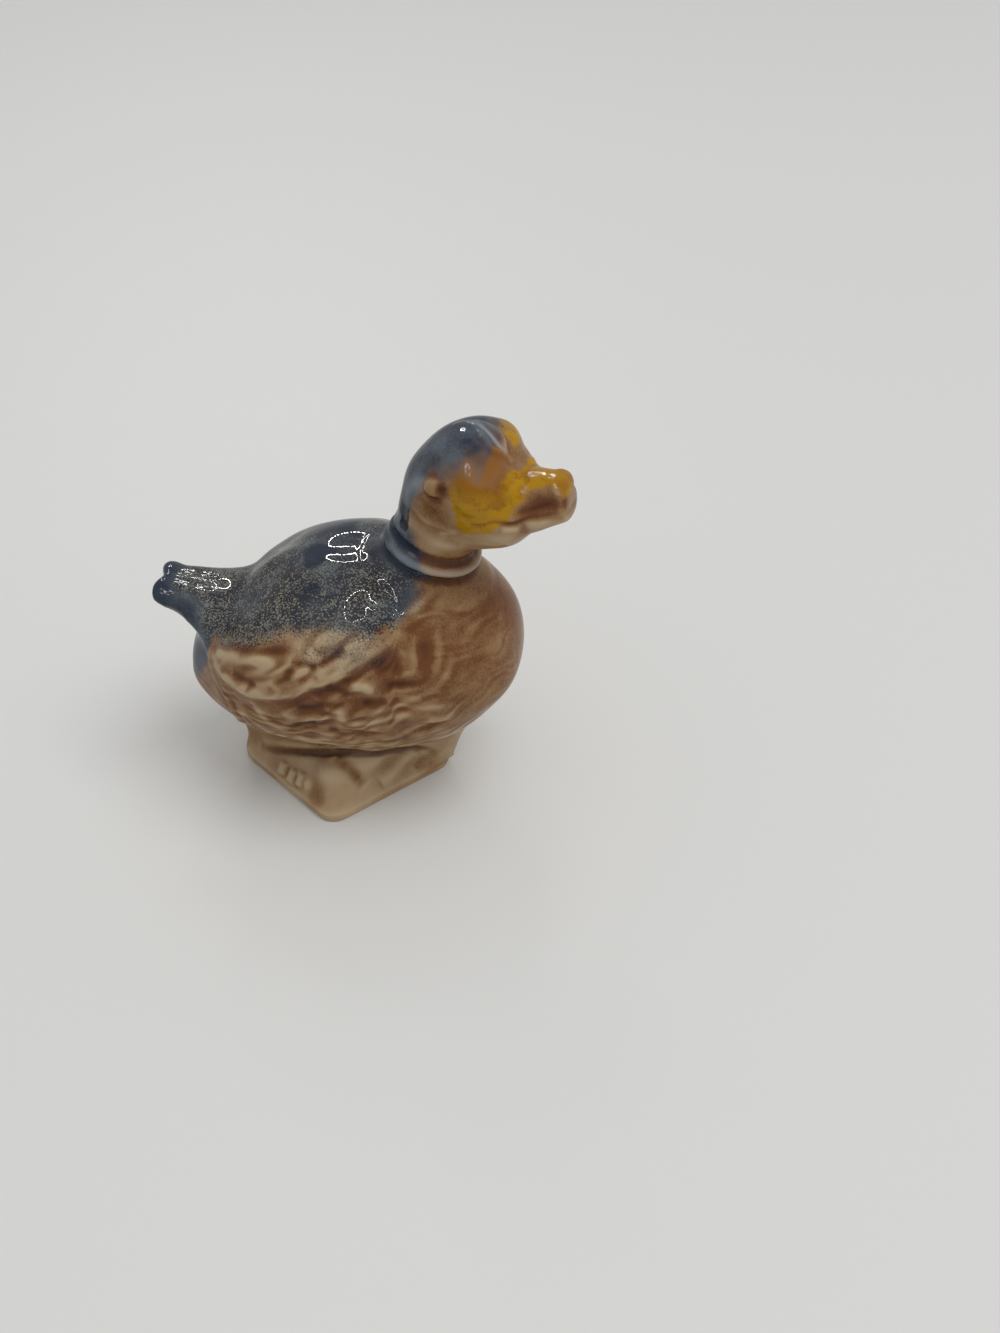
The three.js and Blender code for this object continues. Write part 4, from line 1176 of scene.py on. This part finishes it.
def head_cut(place, outwards):
    """A cut that is placed and turned as the head is."""
    return Cut(HEAD_AXES @ np.array(place) + HEAD_MIDDLE, HEAD_AXES @ np.array(outwards))


PLINTH_TOP = Cut((0, 0, 1), (0, 0, 1))
SEAT_TOP = Cut((0, 0, 7), (0, 0, 1))
TAIL_ROOT = Cut((-9.5, 0, 19), (-0.787, 0, 0.618))
NECK_ROOT = Cut(NECK_FOOT - 0.95 * NECK_AXIS, NECK_AXIS)
THROAT = head_cut((-4.5, 0, -1), THROAT_WAY)
BILL_ROOT = head_cut((4.35, 0, 0), (1, 0, 0))


def glaze_for(slot):
    """The glaze of a slot, made the first time that it is asked for."""
    fired = "fired_" + slot
    return bpy.data.materials.get(fired) or glaze(fired, bpy.context.scene.duck_glaze)


def part_clay(name, cuts, nodes, slot):
    """Cuts one piece out of the skin, closes it and puts it where its forms were."""
    bm = bmesh.new()
    bm.from_mesh(bpy.data.meshes["clay_skin"])
    for cut in cuts:
        result = bmesh.ops.bisect_plane(
            bm,
            geom=[*bm.verts, *bm.edges, *bm.faces],
            dist=1e-5,
            plane_co=cut.place,
            plane_no=cut.outwards,
            clear_outer=True,
        )
        rim = [item for item in result["geom_cut"] if isinstance(item, bmesh.types.BMEdge)]
        bmesh.ops.holes_fill(bm, edges=rim, sides=0)
    for face in bm.faces:
        face.smooth = True
        face.material_index = 0
    bmesh.ops.translate(bm, vec=HOME, verts=bm.verts)
    bmesh.ops.scale(bm, vec=Vector((MM, MM, MM)), verts=bm.verts)
    mesh = mesh_from(bm, name)
    normals = vectors(mesh.attributes["glaze_normal"].data, "vector")
    mesh.normals_split_custom_set_from_vertices(normals.tolist())
    mesh.attributes.remove(mesh.attributes["glaze_normal"])
    mesh.materials.clear()
    mesh.materials.append(glaze_for(slot))
    piece = placed(name, mesh)
    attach(piece, "root")
    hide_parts(*nodes)


class DUCK_OT_plinth(bpy.types.Operator):
    """Parts the plinth from the clay"""

    bl_idname = "duck.plinth"
    bl_label = "Plinth"

    def execute(self, context):
        part_clay("plinth_slab", [PLINTH_TOP], ["plinth"], "cream_glaze")
        return {"FINISHED"}


class DUCK_OT_seat(bpy.types.Operator):
    """Parts the haunches and feet from the clay"""

    bl_idname = "duck.seat"
    bl_label = "Haunches and Feet"

    def execute(self, context):
        cuts = [PLINTH_TOP.other_side(), SEAT_TOP]
        nodes = ["haunches", "left_foot", "right_foot"]
        part_clay("haunches_and_feet", cuts, nodes, "fawn_glaze")
        return {"FINISHED"}


class DUCK_OT_body(bpy.types.Operator):
    """Parts the body and its folded wings from the clay"""

    bl_idname = "duck.body"
    bl_label = "Body and Wings"

    def execute(self, context):
        cuts = [SEAT_TOP.other_side(), TAIL_ROOT, NECK_ROOT]
        nodes = ["body", "left_wing", "right_wing"]
        part_clay("body_and_wings", cuts, nodes, "fawn_glaze")
        return {"FINISHED"}


class DUCK_OT_tail(bpy.types.Operator):
    """Parts the tail from the clay"""

    bl_idname = "duck.tail"
    bl_label = "Tail"

    def execute(self, context):
        part_clay("upturned_tail", [TAIL_ROOT.other_side()], ["tail"], "slate_glaze")
        return {"FINISHED"}


class DUCK_OT_neck(bpy.types.Operator):
    """Parts the neck and its ring from the clay"""

    bl_idname = "duck.neck"
    bl_label = "Neck and Ring"

    def execute(self, context):
        cuts = [NECK_ROOT.other_side(), THROAT]
        part_clay("ringed_neck", cuts, ["neck", "neck_ring"], "slate_glaze")
        return {"FINISHED"}


class DUCK_OT_head(bpy.types.Operator):
    """Parts the head and its eyes from the clay"""

    bl_idname = "duck.head"
    bl_label = "Head and Eyes"

    def execute(self, context):
        cuts = [THROAT.other_side(), BILL_ROOT]
        nodes = ["head", "left_eye", "right_eye"]
        part_clay("head_and_eyes", cuts, nodes, "slate_glaze")
        return {"FINISHED"}


class DUCK_OT_bill(bpy.types.Operator):
    """Parts the bill from the clay"""

    bl_idname = "duck.bill"
    bl_label = "Bill"

    def execute(self, context):
        nodes = ["upper_bill", "lower_bill"]
        part_clay("closed_bill", [BILL_ROOT.other_side()], nodes, "yellow_glaze")
        return {"FINISHED"}


# Studio

# The camera that was fitted to the plinth's outline: its lens, and its place in millimetres.
FOCAL = 1600 / 1333
SENSOR = 36
CAMERA_PLACE = Vector((28.7, -104.2, 96.7))
CAMERA_TURN = math.radians(8)
CAMERA_PITCH = math.radians(39)

FLOOR_RADIUS = 2
SOFTBOX_PLACE = (0.26, -0.06, 0.6)
SOFTBOX_SIZE = 0.5

# Each ring lamp: which way it is from the duck, how far, and its radius.
RING_LAMPS = (
    ((-0.28, 0.72, 0.63), 0.45, 0.06),
    ((0.05, -0.24, 0.97), 0.45, 0.09),
)
LAMPS_IN_RING = 40
LAMP_RADIUS = 0.0032
LAMP_COLOUR = (1, 0.97, 0.92)


def shining(name, strength, shade):
    """A material that gives light."""
    material = bpy.data.materials.new(name)
    material.use_nodes = True
    tree = material.node_tree
    tree.nodes.clear()
    emission = tree.nodes.new("ShaderNodeEmission")
    emission.inputs["Color"].default_value = (*shade, 1)
    emission.inputs["Strength"].default_value = strength
    output = tree.nodes.new("ShaderNodeOutputMaterial")
    tree.links.new(emission.outputs[0], output.inputs["Surface"])
    return material


class DUCK_OT_studio(bpy.types.Operator):
    """Adds the floor, the lights and the camera"""

    bl_idname = "duck.studio"
    bl_label = "Studio"

    def execute(self, context):
        studio = context.scene.duck_studio
        self.floor(studio)
        for towards, distance, radius in RING_LAMPS:
            self.ring_lamp(studio, Vector(towards).normalized() * distance, radius)
        self.softbox(studio)
        self.room(context.scene, studio)
        self.camera(context.scene)
        return {"FINISHED"}

    def floor(self, studio):
        """A wide matt floor."""
        bm = bmesh.new()
        bmesh.ops.create_circle(bm, cap_ends=True, segments=96, radius=FLOOR_RADIUS)
        mesh = mesh_from(bm, "floor")
        paint = Paint("floor")
        paint.shader.inputs["Base Color"].default_value = (*studio.floor, 1)
        paint.shader.inputs["Roughness"].default_value = 0.6
        mesh.materials.append(paint.material)
        floor = placed("floor", mesh)

    def ring_lamp(self, studio, where, radius):
        """A ring of small lamps that faces the duck and only shows in the glaze."""
        bm = bmesh.new()
        for step in range(LAMPS_IN_RING):
            turn = Matrix.Rotation(math.tau * step / LAMPS_IN_RING, 4, "Z")
            place = turn @ Matrix.Translation((radius, 0, 0))
            bmesh.ops.create_circle(
                bm, cap_ends=True, segments=12, radius=LAMP_RADIUS, matrix=place
            )
        facing = where.to_track_quat("Z", "Y").to_matrix().to_4x4()
        bmesh.ops.transform(bm, matrix=Matrix.Translation(where) @ facing, verts=bm.verts)
        mesh = mesh_from(bm, "ring_lamp")
        mesh.materials.append(shining("ring_lamp", studio.lamp, LAMP_COLOUR))
        lamp = placed("ring_lamp", mesh)
        lamp.visible_diffuse = False

    def softbox(self, studio):
        """A round lamp overhead, which does not show in the glaze."""
        light = bpy.data.lights.new("softbox", "AREA")
        light.shape = "DISK"
        light.size = SOFTBOX_SIZE
        light.energy = studio.softbox
        lamp = placed("softbox", light)
        lamp.location = SOFTBOX_PLACE
        lamp.visible_glossy = False
        lamp.rotation_euler = Vector(SOFTBOX_PLACE).to_track_quat("Z", "Y").to_euler()

    def room(self, scene, studio):
        """Even light from all round, and colours as they are."""
        scene.world = bpy.data.worlds.new("room")
        scene.world.use_nodes = True
        background = scene.world.node_tree.nodes["Background"]
        background.inputs["Color"].default_value = (1, 1, 1, 1)
        background.inputs["Strength"].default_value = studio.room
        scene.view_settings.view_transform = "Standard"

    def camera(self, scene):
        """The camera, with the photo's own lens and place."""
        data = bpy.data.cameras.new("camera")
        data.sensor_fit = "VERTICAL"
        data.sensor_height = SENSOR
        data.lens = FOCAL * SENSOR
        data.clip_start = 0.001
        camera = placed("camera", data)
        camera.location = (CAMERA_PLACE + HOME) * MM
        camera.rotation_euler = (math.pi / 2 - CAMERA_PITCH, 0, CAMERA_TURN)
        scene.camera = camera


class DUCK_PT_panel(bpy.types.Panel):
    """Lists the steps that make the duck"""

    bl_idname = "DUCK_PT_panel"
    bl_label = "Porcelain Duck"
    bl_space_type = "VIEW_3D"
    bl_region_type = "UI"
    bl_category = "Duck"

    def draw(self, context):
        column = self.layout.column()
        for operator in OPERATORS:
            column.operator(operator.bl_idname)
        for group in (context.scene.duck_clay, context.scene.duck_glaze, context.scene.duck_studio):
            for name in group.__annotations__:
                column.prop(group, name)


OPERATORS = (
    DUCK_OT_clay,
    DUCK_OT_plinth,
    DUCK_OT_seat,
    DUCK_OT_body,
    DUCK_OT_tail,
    DUCK_OT_neck,
    DUCK_OT_head,
    DUCK_OT_bill,
    DUCK_OT_studio,
)
CLASSES = (DuckClay, DuckGlaze, DuckStudio, *OPERATORS, DUCK_PT_panel)


def register():
    for each in CLASSES:
        bpy.utils.register_class(each)
    bpy.types.Scene.duck_clay = PointerProperty(type=DuckClay)
    bpy.types.Scene.duck_glaze = PointerProperty(type=DuckGlaze)
    bpy.types.Scene.duck_studio = PointerProperty(type=DuckStudio)


def unregister():
    del bpy.types.Scene.duck_clay
    del bpy.types.Scene.duck_glaze
    del bpy.types.Scene.duck_studio
    for each in reversed(CLASSES):
        bpy.utils.unregister_class(each)


def main():
    register()
    bpy.ops.duck.clay()
    bpy.ops.duck.plinth()
    bpy.ops.duck.seat()
    bpy.ops.duck.body()
    bpy.ops.duck.tail()
    bpy.ops.duck.neck()
    bpy.ops.duck.head()
    bpy.ops.duck.bill()
    bpy.ops.duck.studio()


if __name__ == "__main__":
    main()
